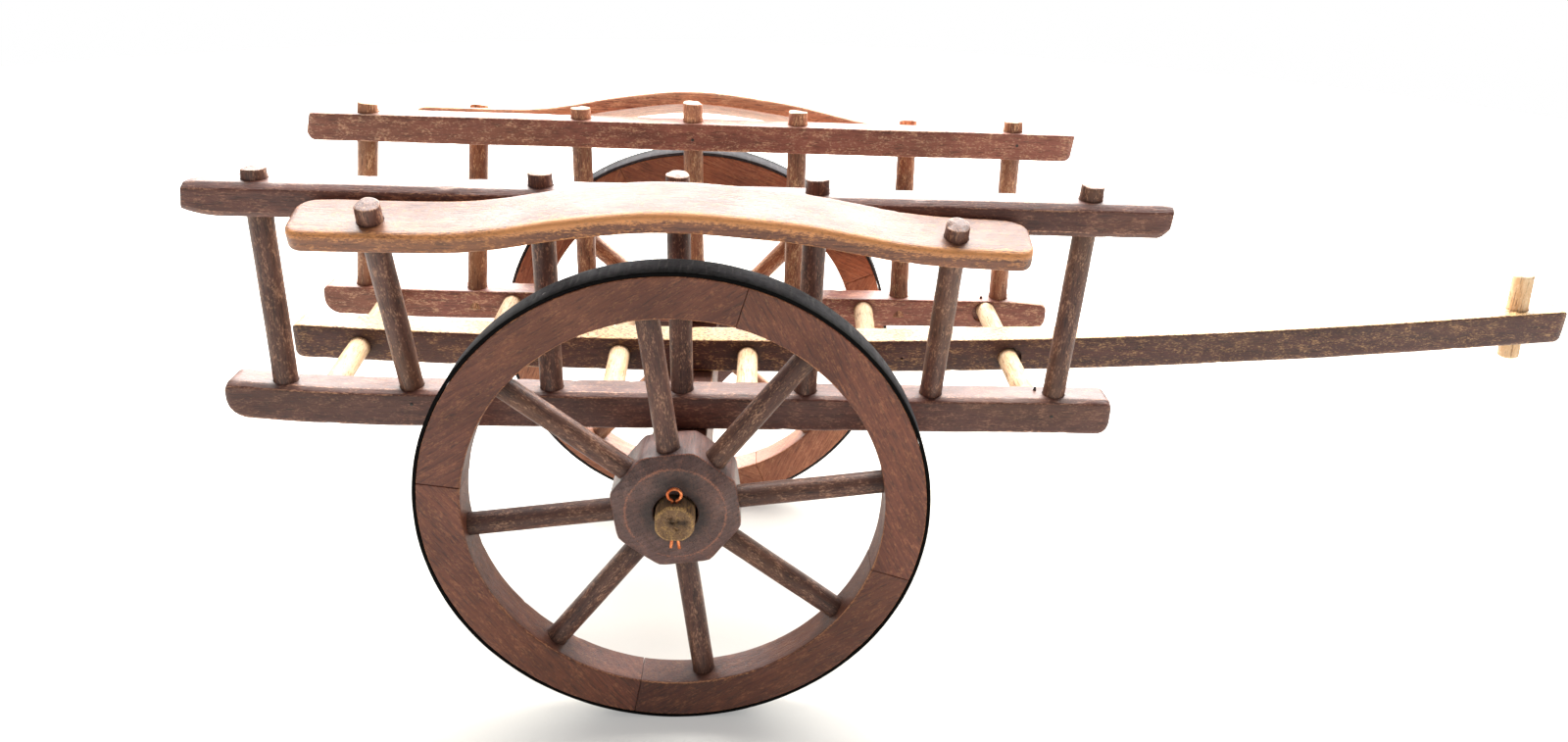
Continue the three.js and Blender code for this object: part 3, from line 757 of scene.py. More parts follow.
def stake_line(s, i):
    if i not in LEANING:
        slope = (s["head"][i] - s["foot"][i]) / (HEAD_Z - SILL_Z[1])

        def at(z):
            up = z - SILL_Z[1]
            return vec(s["foot"][i] + slope * up, s["side"] * (STAKE_Y + up * 0.011), z)

        return at(STAKE_Z_FOOT), at(s["top"][i])
    lift = guard_height(s, s["head"][i])
    through = vec(s["head"][i], s["side"] * (GUARD_Y + lift * math.sin(LEAN)), GUARD_Z + lift * math.cos(LEAN))
    up = vec(0, s["side"] * math.sin(LEAN), math.cos(LEAN))
    foot = through - up * (through[2] - STAKE_Z_FOOT - 1.5) / math.cos(LEAN)
    foot[0] = s["foot"][i]
    through += vec(0, s["side"] * s["peg_out"] * math.cos(LEAN), -s["peg_out"] * math.sin(LEAN))
    return foot, through + unit(through - foot) * s["top"][i]


RUNG_LINES = []
for at_right, at_left, height, end in RUNGS:
    slope = (at_left - at_right) / (2 * SILL_Y[0])
    centre = (at_left + at_right) / 2
    RUNG_LINES.append((vec(centre - slope * end, -end, height), vec(centre + slope * end, end, height)))


def pole_middle(x):
    if x <= POLE_STRAIGHT:
        return POLE_Z + POLE_BOW * x * x
    return POLE_Z + POLE_BOW * POLE_STRAIGHT**2 + 2 * POLE_BOW * POLE_STRAIGHT * (x - POLE_STRAIGHT)


def bar(
    name, xs, outline_at, place, body, material, node, slot, seed, chips=(26, 0.5, (0.8, 3.0)), along=(1, 0, 0),
    up=(0, 0, 1), **more
):
    """A sawn bar: skinned, its long edges chipped, its section's middle found for the bites."""
    points, faces, weight, corner = skinned(xs, outline_at, place)
    n = len(outline_at(xs[0])[0])
    x_of = np.concatenate([np.full(n, x) for x in xs] + [np.zeros(len(points) - n * len(xs))])
    centre = np.zeros_like(points)
    for s in range(len(xs)):
        centre[s * n : (s + 1) * n] = points[s * n : (s + 1) * n].mean(0)
    rng = random.Random(seed)
    points = chip_edges(points, weight, corner, x_of, centre, rng, *chips)
    return make(
        name, points, faces, body, material, along=along, up=up, edge=weight, node=node, slot=slot, **more
    )


# ------------------------------------------------------------ rungs, pole, hitch peg
for i, (a, b) in enumerate(RUNG_LINES):
    rng = random.Random(500 + i)
    # Darker where the rung goes into the lower rails and the pole: painted shade, and grime.
    grime_and_shade_spots = [((a + (b - a) * t), 7.0, 0.5) for t in (0.075, 0.43, 0.57, 0.925)]
    dowel(f"pale_rung_{i + 1}", a, b, DOWEL_R, "cart", PALE, f"rung_{i + 1}", "pale_dowel", rng, grime_and_shade_spots=grime_and_shade_spots)


def pole_outline(x):
    d = min(x - POLE_BACK, POLE_HEAD - x)
    h = POLE_HALF - draw_in(d, 5) * 0.55 + 0.18 * hum(x, 3, 60)
    soft = 0.9 + 0.35 * hum(x, 4, 14)
    return outline(
        [(-h, -h), (h, -h), (h, h), (-h, h)], [1.9 + 0.4 * hum(x, 5, 18), 1.9, soft, soft], [7, 7, 7, 7]
    )


def pole_place(x, u, v):
    return (x, u + 0.25 * hum(x, 6, 90), pole_middle(x) + v)


head_slope = 2 * POLE_BOW * POLE_STRAIGHT
peg_up = unit(vec(-head_slope, 0, 1))
peg_at = vec(PEG_X, 0, pole_middle(PEG_X))
peg = (peg_at - peg_up * (POLE_HALF + 10), peg_at + peg_up * (POLE_HALF + 20))
pole_cuts = [bore(a, b) for a, b in RUNG_LINES] + [bore(peg[0], peg[1], before=2, after=2)]
sixth_a = RUNG_LINES[5][0]
pole_cuts.append(
    bore(vec(sixth_a[0] + 1.6, -11, sixth_a[2] + 0.3), vec(sixth_a[0] + 1.6, -5.5, sixth_a[2] + 0.3), gap=0.7)
)
pole_cuts.append(bore(vec(110.8, -10, 148.4), vec(110.8, -6, 148.4), r=0.7, gap=0, sides=12))
# Darker where the rungs pass through the pole: painted shade, and grime.
pole_grime_and_shade_spots = [(vec(p[0], y, p[2]), 8.5, 0.75) for p, q in RUNG_LINES for y in (-9, 9)]


def pole_pale(at, normal):
    return np.clip((normal[:, 2] - 0.35) * 1.6, 0, 1)


bar(
    "brown_draw_pole", stations(POLE_BACK, POLE_HEAD, [0, 0.3, 1.0, 2.2, 4.0, 6.0], 2.2), pole_outline,
    pole_place, "cart", POLE, "draw_pole", "pole_wood", 11, cutters=pole_cuts, grime_and_shade_spots=pole_grime_and_shade_spots,
    pale=pole_pale
)
dowel(
    "pale_hitch_peg", peg[0], peg[1], DOWEL_R, "cart", PALE, "hitch_peg", "pale_dowel", random.Random(77),
    foot=1.2, head=1.2, ragged=0.5, slant=0.1
)

# ------------------------------------------------------------ axle, bolster
SAG = 0.55  # the axle rests on the underside of the hubs' bores


def whittled(t):
    """The axle's radius round its turn: a circle with a few flats left by the knife."""
    r = AXLE_R
    for flat, depth in ((180, 0.94), (2, 0.95), (268, 0.93), (48, 0.965), (131, 0.96), (90, 0.975)):
        off = math.cos(math.radians(flat) - t)
        if off > 0.5:
            r = min(r, AXLE_R * depth / off)
    return r


def axle_piece():
    sides = 72
    points, edge = [], []
    ease = [0, 0.1, 0.3, 0.6, 1.0, 1.5]
    half = AXLE_HALF
    xs = [-half + e for e in ease] + list(
        np.linspace(-half + 3, half - 3, 110)
    ) + [half - e for e in reversed(ease)]

    def put(x, share, weight):
        d = half - abs(x)
        for k in range(sides):
            t = 2 * math.pi * k / sides
            r = (
                whittled(t) + 0.06 * noise.noise(Vector((x / 6, math.cos(t) * 2, math.sin(t) * 2)))
            ) - draw_in(d, 1.5) * 0.8
            y = x
            if share < 1 or d < 1.5:
                ry, rz = r * share * math.cos(t), r * share * math.sin(t)
                bump = 0.28 * noise.noise(Vector((ry / 2.2, rz / 1.5, 3.0 + math.copysign(1, x))))
                crack = 0.0
                for height, start, reach, tilt in (
                    (0.9, -4.2, 7.6, 0.12), (-1.6, -1.4, 4.6, -0.2), (2.9, -3.4, 3.6, 0.35)
                ):
                    along = (ry - start) / reach
                    if 0 < along < 1:
                        line = height + tilt * (ry - start) + 0.5 * math.sin(along * 9)
                        crack = max(crack, (1 - abs(2 * along - 1)) * math.exp(-(((rz - line) / 0.42) ** 2)))
                y = x + math.copysign(1, x) * (bump - 1.1 * crack) * min(1.0, (1 - share) * 5 + 0.25)
            points.append((r * share * math.cos(t), y, TYRE_R - SAG + r * share * math.sin(t)))
            edge.append(weight)

    inner = np.linspace(0.94, 0.06, 15)
    for share in reversed(inner):
        put(-half, share, 0.1)
    for x in xs:
        put(x, 1.0, 0.8 if half - abs(x) < 1.2 else 0.0)
    for share in inner:
        put(half, share, 0.1)
    faces = stacked(len(points) // sides, sides)
    # Darker on top of the axle by each hub face (grime, and painted shade), and small dark marks on the end faces.
    grime_and_shade_spots = [(vec(0, side * (HUB_Y_OUT + 0.5), TYRE_R + AXLE_R), 5.0, 0.9) for side in (-1, 1)]
    grime_and_shade_spots += [
        (vec(x, side * AXLE_HALF, TYRE_R - SAG + z), 2.4, 0.85) for side in (-1, 1)
        for x, z in ((-1.0, 1.2), (2.0, 0.9), (4.4, 1.0))
    ]
    make(
        "whittled_axle", points, faces, "cart", AXLE, along=(0, 1, 0), edge=edge, node="axle", slot="axle_wood",
        grime_and_shade_spots=grime_and_shade_spots, hand=0.05
    )


axle_piece()


def bolster_outline(y):
    h = BOLSTER_X - 0.25 + 0.15 * hum(y, 21, 25)
    draw = draw_in(BOLSTER_Y - abs(y), 2.0) * 0.5
    slope = max(0.0, abs(y) - (BOLSTER_Y - 6))
    return outline(
        [
            (-h + draw, BOLSTER_Z[0] + slope), (h - draw, BOLSTER_Z[0] + slope),
            (h - draw, BOLSTER_Z[1] - draw), (-h + draw, BOLSTER_Z[1] - draw)
        ],
        [1.6, 1.6, 1.2, 1.2], [10, 14, 10, 14]
    )


bar(
    "stained_axle_bolster", stations(-BOLSTER_Y, BOLSTER_Y, [0, 0.5, 1.4, 3.0, 6.0], 2.4), bolster_outline,
    lambda y, u, v: (-u, y, v), "cart", STAINED, "axle_bolster", "stained_wood", 31, along=(0, 1, 0),
    cutters=[tube((0, -90, TYRE_R), (0, 90, TYRE_R), AXLE_R + GAP, 48)],
    # darker at its ends by the hubs: painted shade, and grime
    grime_and_shade_spots=[(vec(0, side * BOLSTER_Y, TYRE_R), 16, 0.7) for side in (-1, 1)]
)


# ------------------------------------------------------------ split pins
def swept(path, r, sides):
    """A closed tube along a path of points, its ends rounded."""
    path = [np.array(p, float) for p in path]
    points = []
    normal = vec(0, 1, 0)
    count = len(path)
    for i, p in enumerate(path):
        ahead = unit(path[min(i + 1, count - 1)] - path[max(i - 1, 0)])
        side = unit(np.cross(ahead, normal))
        for k in range(sides):
            t = 2 * math.pi * k / sides
            points.append(p + side * math.cos(t) * r + normal * math.sin(t) * r)
    faces = [
        (s * sides + k, s * sides + (k + 1) % sides, (s + 1) * sides + (k + 1) % sides, (s + 1) * sides + k)
        for s in range(count - 1) for k in range(sides)
    ]
    for base, ahead in ((0, unit(path[0] - path[1])), ((count - 1) * sides, unit(path[-1] - path[-2]))):
        ring = np.array(points[base : base + sides])
        middle = ring.mean(0)
        last = base
        for share, out in ((0.75, 0.45), (0.35, 0.7)):
            start = len(points)
            points += list(middle + (ring - middle) * share + ahead * r * out * 0.8)
            faces += [
                (last + k, last + (k + 1) % sides, start + (k + 1) % sides, start + k) for k in range(sides)
            ]
            last = start
        faces.append(tuple(range(last, last + sides)))
    return np.array(points), faces


def smooth_path(points, steps):
    """Uniform Catmull-Rom curve through the points."""
    out = []
    for i in range(len(points) - 1):
        p0, p1 = points[max(i - 1, 0)], points[i]
        p2, p3 = points[i + 1], points[min(i + 2, len(points) - 1)]
        for k in range(steps):
            t = k / steps
            out.append(
                0.5 * (
                    (2 * p1) + (p2 - p0) * t + (2 * p0 - 5 * p1 + 4 * p2 - p3) * t * t
                    + (3 * p1 - p0 - 3 * p2 + p3) * t**3
                )
            )
    out.append(points[-1])
    return out


for s in (RIGHT, LEFT):
    y, top = s["side"] * PIN_Y, TYRE_R - SAG + AXLE_R
    eye = top + PIN_EYE_R + 0.8
    neck = 0.95
    begin = math.asin(neck / PIN_EYE_R)
    under = TYRE_R - AXLE_R
    way = [
        vec(-1.9, y, under - 5.4), vec(-1.35, y, under - 1.5), vec(-neck, y, TYRE_R - 5),
        vec(-neck, y, TYRE_R + 5), vec(-neck, y, top - 1.4)
    ]
    for k in range(13):
        angle = -math.pi / 2 - begin - (2 * math.pi - 2 * begin) * k / 12
        way.append(vec(PIN_EYE_R * math.cos(angle), y, eye + PIN_EYE_R * math.sin(angle)))
    way += [
        vec(neck, y, top - 1.4), vec(neck, y, TYRE_R + 5), vec(neck, y, TYRE_R - 5), vec(1.35, y, under - 1.5),
        vec(1.9, y, under - 5.9)
    ]
    points, faces = swept(smooth_path(way, 5), PIN_WIRE_R, 14)
    make(
        f"copper_pin_{s['name']}", points, faces, "cart", COPPER, along=(0, 0, 1), up=(0, 1, 0),
        node=f"{s['name']}_cotter_pin", slot="copper_pin", hand=0.03, grime_and_shade_spots=[(vec(0, y, top + 0.4), 1.6, 0.9)],
        sharp=60
    )


# ------------------------------------------------------------ nails and small marks
def nail(name, at, out, r=0.9, proud=0.5, body="cart"):
    """A domed nail head on a face, facing along out."""
    at, out = np.array(at, float), unit(np.array(out, float))
    side = unit(np.cross(out, vec(0, 0, 1) if abs(out[2]) < 0.8 else vec(1, 0, 0)))
    other = np.cross(out, side)
    profile = [(0.55, -2.0), (0.6, -0.3), (1.0, -0.05), (1.04, 0.12), (0.95, 0.45), (0.7, 0.8), (0.3, 1.0)]
    sides = 16
    points = [
        at + out * (h * (proud if h > 0 else 1)) + (
            side * math.cos(2 * math.pi * k / sides) + other * math.sin(2 * math.pi * k / sides)
        ) * r * share
        for share, h in profile for k in range(sides)
    ]
    faces = stacked(len(profile), sides)
    return make(name, points, faces, body, NAIL, along=out, up=side, hand=0.02, sharp=50)


nail("nail_far_rail_middle", (-1.3, 58.9, 244.8), (0, -1, 0), 0.8, 0.5)
nail("nail_far_rail_front", (175.5, 58.9, 246.9), (0, -1, 0), 0.8, 0.4)
nail("nail_near_sill_back", (-121.6, -73.5, 150.6), (0, -1, 0), 0.8, 0.35)
nail("nail_near_sill_front", (175.2, -73.5, 148.6), (0, -1, 0), 0.8, 0.35)
nail("nail_rung_near", (168.6, -62.0, 156.6), (0, 0, 1), 0.75, 2.2)
nail("nail_rung_far", (164.9, 63.0, 155.4), (0, 0, 1), 0.75, 1.6)


# ------------------------------------------------------------ the two sides
for s in (RIGHT, LEFT):
    side, name = s["side"], s["name"]
    rail_wood, stick_wood, wheel_wood, guard_wood = s["wood"]()
    lines = [stake_line(s, i) for i in range(7)]
    near = side < 0
    salt = 100 if near else 200

    # Lower rail: soft edges, the back end swept up underneath.
    low_x, high_x = s["sill"]

    def sill_outline(x):
        back = x < 0
        d = x - low_x if back else high_x - x
        low = draw_in(d, 9 if back else 6)
        high = draw_in(d, 4.5 if back else 4) * 0.8
        across = draw_in(d, 3) * 0.5
        lift = s["rise"] * ((SWEEP_FROM - x) / SWEEP_LENGTH) ** 2 if x < SWEEP_FROM else 0.0
        wobble = 0.25 * hum(x, salt + 1, 70)
        droop = 1.8 * max(0.0, 1 - d / 26) ** 1.5 if not (back or near) else 0.0
        y0, y1 = SILL_Y[0] + across, SILL_Y[1] - across + 0.2 * hum(x, salt + 2, 55)
        z0, z1 = SILL_Z[0] + low + lift + wobble, s["sill_top"] - high + lift + 0.6 * wobble - droop
        worn = 1 + 0.22 * hum(x, salt + 3, 19) + 0.12 * hum(x, salt + 6, 6)
        cut, drop = (v * worn for v in s["sill_bevel"])
        corners = [(y0, z0), (y1, z0), (y1, z1 - drop), (y1 - cut, z1), (y0, z1)]
        return outline(
            [(side * u, v) for u, v in corners], [1.1, 2.0 + 0.5 * hum(x, salt + 4, 20), 0.7, 0.7, 1.0],
            [7, 6, 3, 6, 7], 3
        )

    cuts = [bore(a, b, before=GAP) for a, b in lines]
    for k, (a, b) in enumerate(RUNG_LINES):
        start, tip = (b, a) if near else (a, b)
        cuts.append(bore(start, tip, after=GAP))
    if not near:
        loose = vec(RUNG_LINES[5][1][0] - 1.7, SILL_Y[0], 148.7)
        cuts.append(bore(loose, loose + (0, 2.6, 0), before=4, gap=0.8))
    # Darker round the stake feet and the rung ends: painted shade, and grime.
    grime_and_shade_spots = [
        (vec(a[0], side * (STAKE_Y if k not in LEANING else abs(a[1]) + 4), SILL_Z[1]), 8.0, 0.55)
        for k, (a, b) in enumerate(lines)
    ]
    grime_and_shade_spots += [(vec(a[0] if near else b[0], side * SILL_Y[0], a[2]), 8.0, 0.7) for a, b in RUNG_LINES]
    bar(
        f"stained_{name}_lower_rail", stations(low_x, high_x, [0, 0.25, 0.8, 1.7, 3.0, 5.0, 7.5, 10], 2.0),
        sill_outline, lambda x, u, v: (x, u, v), "cart", rail_wood, f"{name}_lower_rail", "stained_wood",
        salt + 5, cutters=cuts, grime_and_shade_spots=grime_and_shade_spots
    )

    # Upper rail: outer edges bevelled, ends cut back.
    rail_low, rail_high = s["rail"]

    def rail_end(x):
        back = x < 0
        return (x - rail_low, s["rail_back"], True) if back else (rail_high - x, s["rail_front"], False)

    def rail_outline(x):
        d, end, back = rail_end(x)
        narrow, under = (
            amount * max(0.0, 1 - d / length) ** 1.4 for amount, length in (end["narrow"], end["under"])
        )
        t = max(0.0, 1 - d / 4)
        y0, y1 = RAIL_Y[0] + narrow, RAIL_Y[1] - t * 0.7 + 0.2 * hum(x, salt + 12, 60)
        z0, z1 = RAIL_Z[0] + under + 0.2 * hum(
            x, salt + 13, 80
        ), RAIL_Z[1] - t * 0.6 + 0.15 * hum(x, salt + 14, 50)
        b = (1 + 0.16 * hum(x, salt + 15, 24)) * (1 - 0.2 * t)
        corners = [
            (y0, z0), (y1 - 1.4 * b, z0), (y1, z0 + 2.3 * b), (y1, z1 - 2.4 * b), (y1 - 3.3 * b, z1), (y0, z1)
        ]
        return outline(
            [(side * u, v) for u, v in corners], [1.0, 0.5, 0.6, 0.6, 0.7, 0.9], [7, 2, 5, 2, 6, 7], 3
        )

    def rail_place(x, u, v):
        d, end, back = rail_end(x)
        fade = max(0.0, 1 - d / 20)
        up = (v - RAIL_Z[0]) / (RAIL_Z[1] - RAIL_Z[0])
        shift = end["rake"] * up if back else -end["rake"] * (1 - up)
        return (x + shift * fade, u, v)

    cuts = [bore(lines[i][0], lines[i][1], after=2) for i in UPRIGHT]
    # Darker where the stakes come through, at top and bottom: painted shade, and grime.
    grime_and_shade_spots = [
        (vec(lines[i][1][0], side * (STAKE_Y + 1), z), 8.0, 0.5) for i in UPRIGHT
        for z in (RAIL_Z[0], RAIL_Z[1])
    ]
    bar(
        f"stained_{name}_upper_rail",
        stations(rail_low, rail_high, [0, 0.3, 0.9, 1.8, 3.0, 5.0, 9.0, 14.0], 2.0), rail_outline, rail_place,
        "cart", rail_wood, f"{name}_upper_rail", "stained_wood", salt + 16, cutters=cuts, grime_and_shade_spots=grime_and_shade_spots
    )

    # Wheel guard: sawn to a wave, its outer top edge worn round.
    guard_low, guard_high = s["guard"]

    def guard_outline(x):
        d = min(x - guard_low, guard_high - x)
        inner = draw_in(d, 11) * 0.8
        outer = draw_in(d, 6.5) * 0.9
        thin = draw_in(d, 3) * 0.3
        u0, u1 = -GUARD_W / 2 + inner, GUARD_W / 2 - outer + 0.25 * hum(x, salt + 22, 40)
        n0, n1 = -s["thick"] + thin + 0.2 * hum(x, salt + 23, 45), -thin
        worn = 3.4 + 0.7 * hum(x, salt + 24, 28)
        corners = [(u0, n0), (u1, n0), (u1, n1), (u0, n1)]
        inner_round = 1.1 if near else 2.2
        uv, edge, which = outline(
            [(side * u, v) for u, v in corners], [0.9, 1.4, worn, inner_round], [9, 3, 14, 4], 6
        )
        # A broad band of worn colour along the rounded outer top edge: wear, with a painted highlight.
        from_worn_highlit_edge = np.hypot(uv[:, 0] - side * u1, uv[:, 1] - n1)
        return uv, np.maximum(edge * 0.8, 0.98 * np.exp(-((from_worn_highlit_edge / 4.6) ** 2))), which

    def guard_place(x, u, v):
        h = guard_height(s, x) + v
        u = side * u
        lean = s["tilt"]
        return (
            x, side * (GUARD_Y + u * math.cos(lean) + h * math.sin(lean)),
            GUARD_Z - u * math.sin(lean) + h * math.cos(lean)
        )

    cuts = [bore(lines[i][0], lines[i][1], after=2) for i in LEANING]
    # Darker where the pegs come through: painted shade, and grime.
    grime_and_shade_spots = [(b - unit(b - a) * s["top"][i], 9.0, 0.5) for i, (a, b) in enumerate(lines) if i in LEANING]
    bar(
        f"board_{name}_wheel_guard",
        stations(guard_low, guard_high, [0, 0.3, 0.9, 1.8, 3.0, 4.6, 6.6, 9.0, 12.0], 2.0), guard_outline,
        guard_place, "cart", guard_wood, f"{name}_wheel_guard", "rim_wood", salt + 25,
        up=(0, side * math.sin(s["tilt"]), math.cos(s["tilt"])), cutters=cuts, grime_and_shade_spots=grime_and_shade_spots
    )

    for i, (a, b) in enumerate(lines):
        rng = random.Random(salt + 30 + i)
        into = a + unit(b - a) * (SILL_Z[1] - STAKE_Z_FOOT)
        # Darker where the stake enters the lower rail and just under the upper rail or the guard: painted shade, and
        # grime.
        grime_and_shade_spots = [(into, 9.0, 0.45)]
        if i in UPRIGHT:
            grime_and_shade_spots.append((a + (b - a) * ((RAIL_Z[0] - a[2]) / (b[2] - a[2])), 9.0, 0.55))
            grime_and_shade_spots.append((a + (b - a) * ((RAIL_Z[1] - a[2]) / (b[2] - a[2])), 3.5, 0.5))
        else:
            grime_and_shade_spots.append((b - unit(b - a) * s["top"][i], 3.5, 0.7))
            grime_and_shade_spots.append((b - unit(b - a) * (s["top"][i] + s["thick"]), 8.0, 0.6))
        dowel(
            f"stained_{name}_stake_{i + 1}", a, b, DOWEL_R, "cart", stick_wood, f"{name}_stake_{i + 1}",
            "stained_wood", rng, foot=0.5, head=0.45, ragged=0.45, slant=0.25, grime_and_shade_spots=grime_and_shade_spots,
            shade=peg_shade(
                a, b, s["top"][i] if i in LEANING else (s["top"][i] - RAIL_Z[1]), rng.uniform(-0.15, 0.15),
                0.1 if near else 0.55
            )
        )

    # ---------------------------------------------------- wheel
    wheel = f"{name}_wheel"

    def at(r, angle, y=SPOKE_Y):
        return vec(r * math.cos(angle), side * y, TYRE_R + r * math.sin(angle))

    spoke_angles = [math.radians(s["phase"] + SPOKE_TURN * k) for k in range(SPOKE_COUNT)]
    for k, angle in enumerate(spoke_angles):
        rng = random.Random(salt + 50 + k)
        dowel(
            f"stained_{name}_spoke_{k + 1}", at(SPOKE_R_IN, angle), at(SPOKE_R_OUT, angle), DOWEL_R, wheel,
            stick_wood, f"{name}_spoke_{k + 1}", "stained_wood", rng, foot=0.4, head=0.4,
            shade=rng.uniform(-0.12, 0.12),
            # darker where the spoke goes into hub and rim: painted shade, and grime
            grime_and_shade_spots=[(at(HUB_APOTHEM, angle), 8.0, 0.6), (at(RIM_R_IN, angle), 9.0, 0.7)]
        )

    def rim_painted_light_and_shade(flat):
        """Painted light and shade: darker towards the top of the wheel and on the face turned to the axle, lighter to
        the front.
        """
        x, z = (flat[:, 0] - AXLE_X * MM) / MM, flat[:, 2] / MM - TYRE_R
        inside = np.clip(1 - (np.hypot(x, z) - RIM_R_IN) / 1.2, 0, 1)
        return 0.14 * x / RIM_R_OUT - 0.2 * np.clip(z / RIM_R_OUT, 0, 1) - 0.3 * inside

    # Four felloes, butted end to end with a hairline between them.
    for k, begin in enumerate(s["joints"]):
        end = s["joints"][(k + 1) % 4] + (360 if k == 3 else 0)
        slack = math.degrees(0.07 / RIM_R_OUT)
        a0, a1 = math.radians(begin + slack), math.radians(end - slack)
        middle = (a0 + a1) / 2
        spans = stations(a0 * FELLOE_MIDDLE_R, a1 * FELLOE_MIDDLE_R, [0, 0.12, 0.35, 0.7, 1.2], 2.0)

        def felloe_outline(x, low=spans[0], high=spans[-1], key=salt + 60 + k):
            d = min(x - low, high - x)
            ease = draw_in(d, 0.4)
            r0, r1 = RIM_R_IN + ease + 0.22 * hum(x, key, 26), RIM_R_OUT - ease * 0.4
            y0, y1 = RIM_Y_OUT - RIM_W + ease, RIM_Y_OUT - ease + 0.12 * hum(x, key + 5, 22)
            soft = 1.0 + 0.4 * hum(x, key + 9, 11)
            return outline([(r0, y0), (r1, y0), (r1, y1), (r0, y1)], [1.0, 0.6, 0.6, soft], [8, 7, 8, 7], 4)

        def felloe_place(x, r, y):
            return at(r, x / FELLOE_MIDDLE_R, y)

        cuts = [bore(at(60, t), at(SPOKE_R_OUT + GAP, t), gap=0.18) for t in spoke_angles]
        cuts = [
            c for c, t in zip(cuts, spoke_angles)
            if any(a0 - 0.08 < t + turn * 2 * math.pi < a1 + 0.08 for turn in (-1, 0, 1))
        ]
        # Darker where the spokes come in (painted shade, and grime), and darkened along each joint end.
        grime_and_shade_spots = [(at(RIM_R_IN, t), 10.0, 0.6) for t in spoke_angles]
        grime_and_shade_spots += [(at(RIM_R_IN + 4 * j, t, RIM_Y_OUT), 1.6, 0.25) for t in (a0, a1) for j in range(5)]
        # Each felloe's brightness is painted light and shade: its own value plus the wheel-wide gradient.
        bar(
            f"rim_{name}_felloe_{k + 1}", spans, felloe_outline, felloe_place, wheel, wheel_wood,
            f"{name}_felloe_{k + 1}", "rim_wood", salt + 70 + k, chips=(40, 0.35, (0.8, 2.5)),
            along=(-math.sin(middle), 0, math.cos(middle)), up=(math.cos(middle), 0, math.sin(middle)),
            cutters=cuts, grime_and_shade_spots=grime_and_shade_spots, shade=lambda flat, tone=s["felloe_painted_shade"][k]: tone + rim_painted_light_and_shade(flat)
        )

    # Dark tyre band round the rim, with nail heads.
    dents = [
        (87.5, -0.3), (61.9, -3.6), (20.0, 1.5), (332.0, -1.0), (291.0, 2.0), (243.0, -2.0), (196.0, 0.5),
        (152.0, 2.6), (118.0, -1.2)
    ]
    tyre_x = [2 * math.pi * k / 360 for k in range(360)]

    def tyre_outline(t):
        y0, y1 = RIM_Y_OUT - RIM_W + 0.1 * hum(
            t * TYRE_R, salt + 81, 40
        ), RIM_Y_OUT + 0.12 * hum(t * TYRE_R, salt + 82, 35)
        return outline(
            [(TYRE_R - TYRE_T, y0), (TYRE_R, y0), (TYRE_R, y1), (TYRE_R - TYRE_T, y1)],
            [0.25, 0.45, 0.45, 0.25], [10, 2, 14, 2], 3
        )

    points, faces, weight, corner = skinned(tyre_x, tyre_outline, lambda t, r, y: at(r, t, y), closed=True)
    radius = np.hypot(points[:, 0], points[:, 2] - TYRE_R)
    angle = np.arctan2(points[:, 2] - TYRE_R, points[:, 0])
    across = np.abs(points[:, 1]) - SPOKE_Y
    push = -0.05 + 0.09 * np.array([noise.noise(Vector((p[0] / 12, p[1] / 9, p[2] / 12))) for p in points])
    for degrees, middle_y in dents:
        off = np.angle(np.exp(1j * (angle - math.radians(degrees)))) * TYRE_R
        push -= 0.55 * np.exp(-((off / 1.9) ** 2 + ((across + middle_y) / 1.9) ** 2))
    outer = radius > TYRE_R - 0.9
    scale = 1 + np.where(outer, np.minimum(push, 0.0), 0.0) / radius
    points[:, 0] *= scale
    points[:, 2] = TYRE_R + (points[:, 2] - TYRE_R) * scale
    tyre = make(
        f"band_{name}_tyre", points, faces, wheel, TYRE, along=(0, 1, 0), edge=weight, node=f"{name}_tyre",
        slot="tyre_band", hand=0.0, origin=(0, side * SPOKE_Y, TYRE_R)
    )
    flat = coordinates(tyre.data)
    outward = side * flat[:, 1] / MM
    # A pale line on the band's inner side by the rim: wear, with a painted highlight.
    worn_line_and_highlight = np.clip((-outward - (RIM_W / 2 - 0.7)) * 2.5, 0, 1) * (
        np.hypot(flat[:, 0], flat[:, 2]) / MM < TYRE_R - 0.9
    )
    # The band's outer edge is painted near black.
    paint(tyre.data, "grime_and_painted_shade", np.clip((outward - (RIM_W / 2 - 0.5)) * 2.5, 0, 1))
    paint(tyre.data, "pale", worn_line_and_highlight)
    for k, (degrees, middle_y) in enumerate(dents):
        t = math.radians(degrees)
        nail(
            f"nail_{name}_tyre_{k + 1}", at(TYRE_R - 0.62, t, SPOKE_Y - middle_y),
            (math.cos(t), 0, math.sin(t)), 1.05, 0.28, wheel
        )

    # Eight-sided hub, its outer end bevelled round.
    def hub_outline(t):
        turn = (math.degrees(t) - s["phase"] + SPOKE_TURN / 2) % SPOKE_TURN - SPOKE_TURN / 2
        sharp = HUB_APOTHEM / math.cos(math.radians(turn))
        oct_r = sharp - 0.45 * math.exp(-(((SPOKE_TURN / 2 - abs(turn)) / 3.2) ** 2))
        oct_r += 0.12 * hum(t * 30, salt + 91, 9)
        corners = [
            (HUB_BORE_R, HUB_Y_IN), (oct_r - 0.2, HUB_Y_IN), (oct_r, HUB_Y_OUT - HUB_BEVEL),
            (HUB_FACE_R, HUB_Y_OUT), (HUB_BORE_R, HUB_Y_OUT)
        ]
        return outline(corners, [0.4, 1.1, 0.9, 1.3, 0.7], [16, 20, 8, 14, 12], 4)

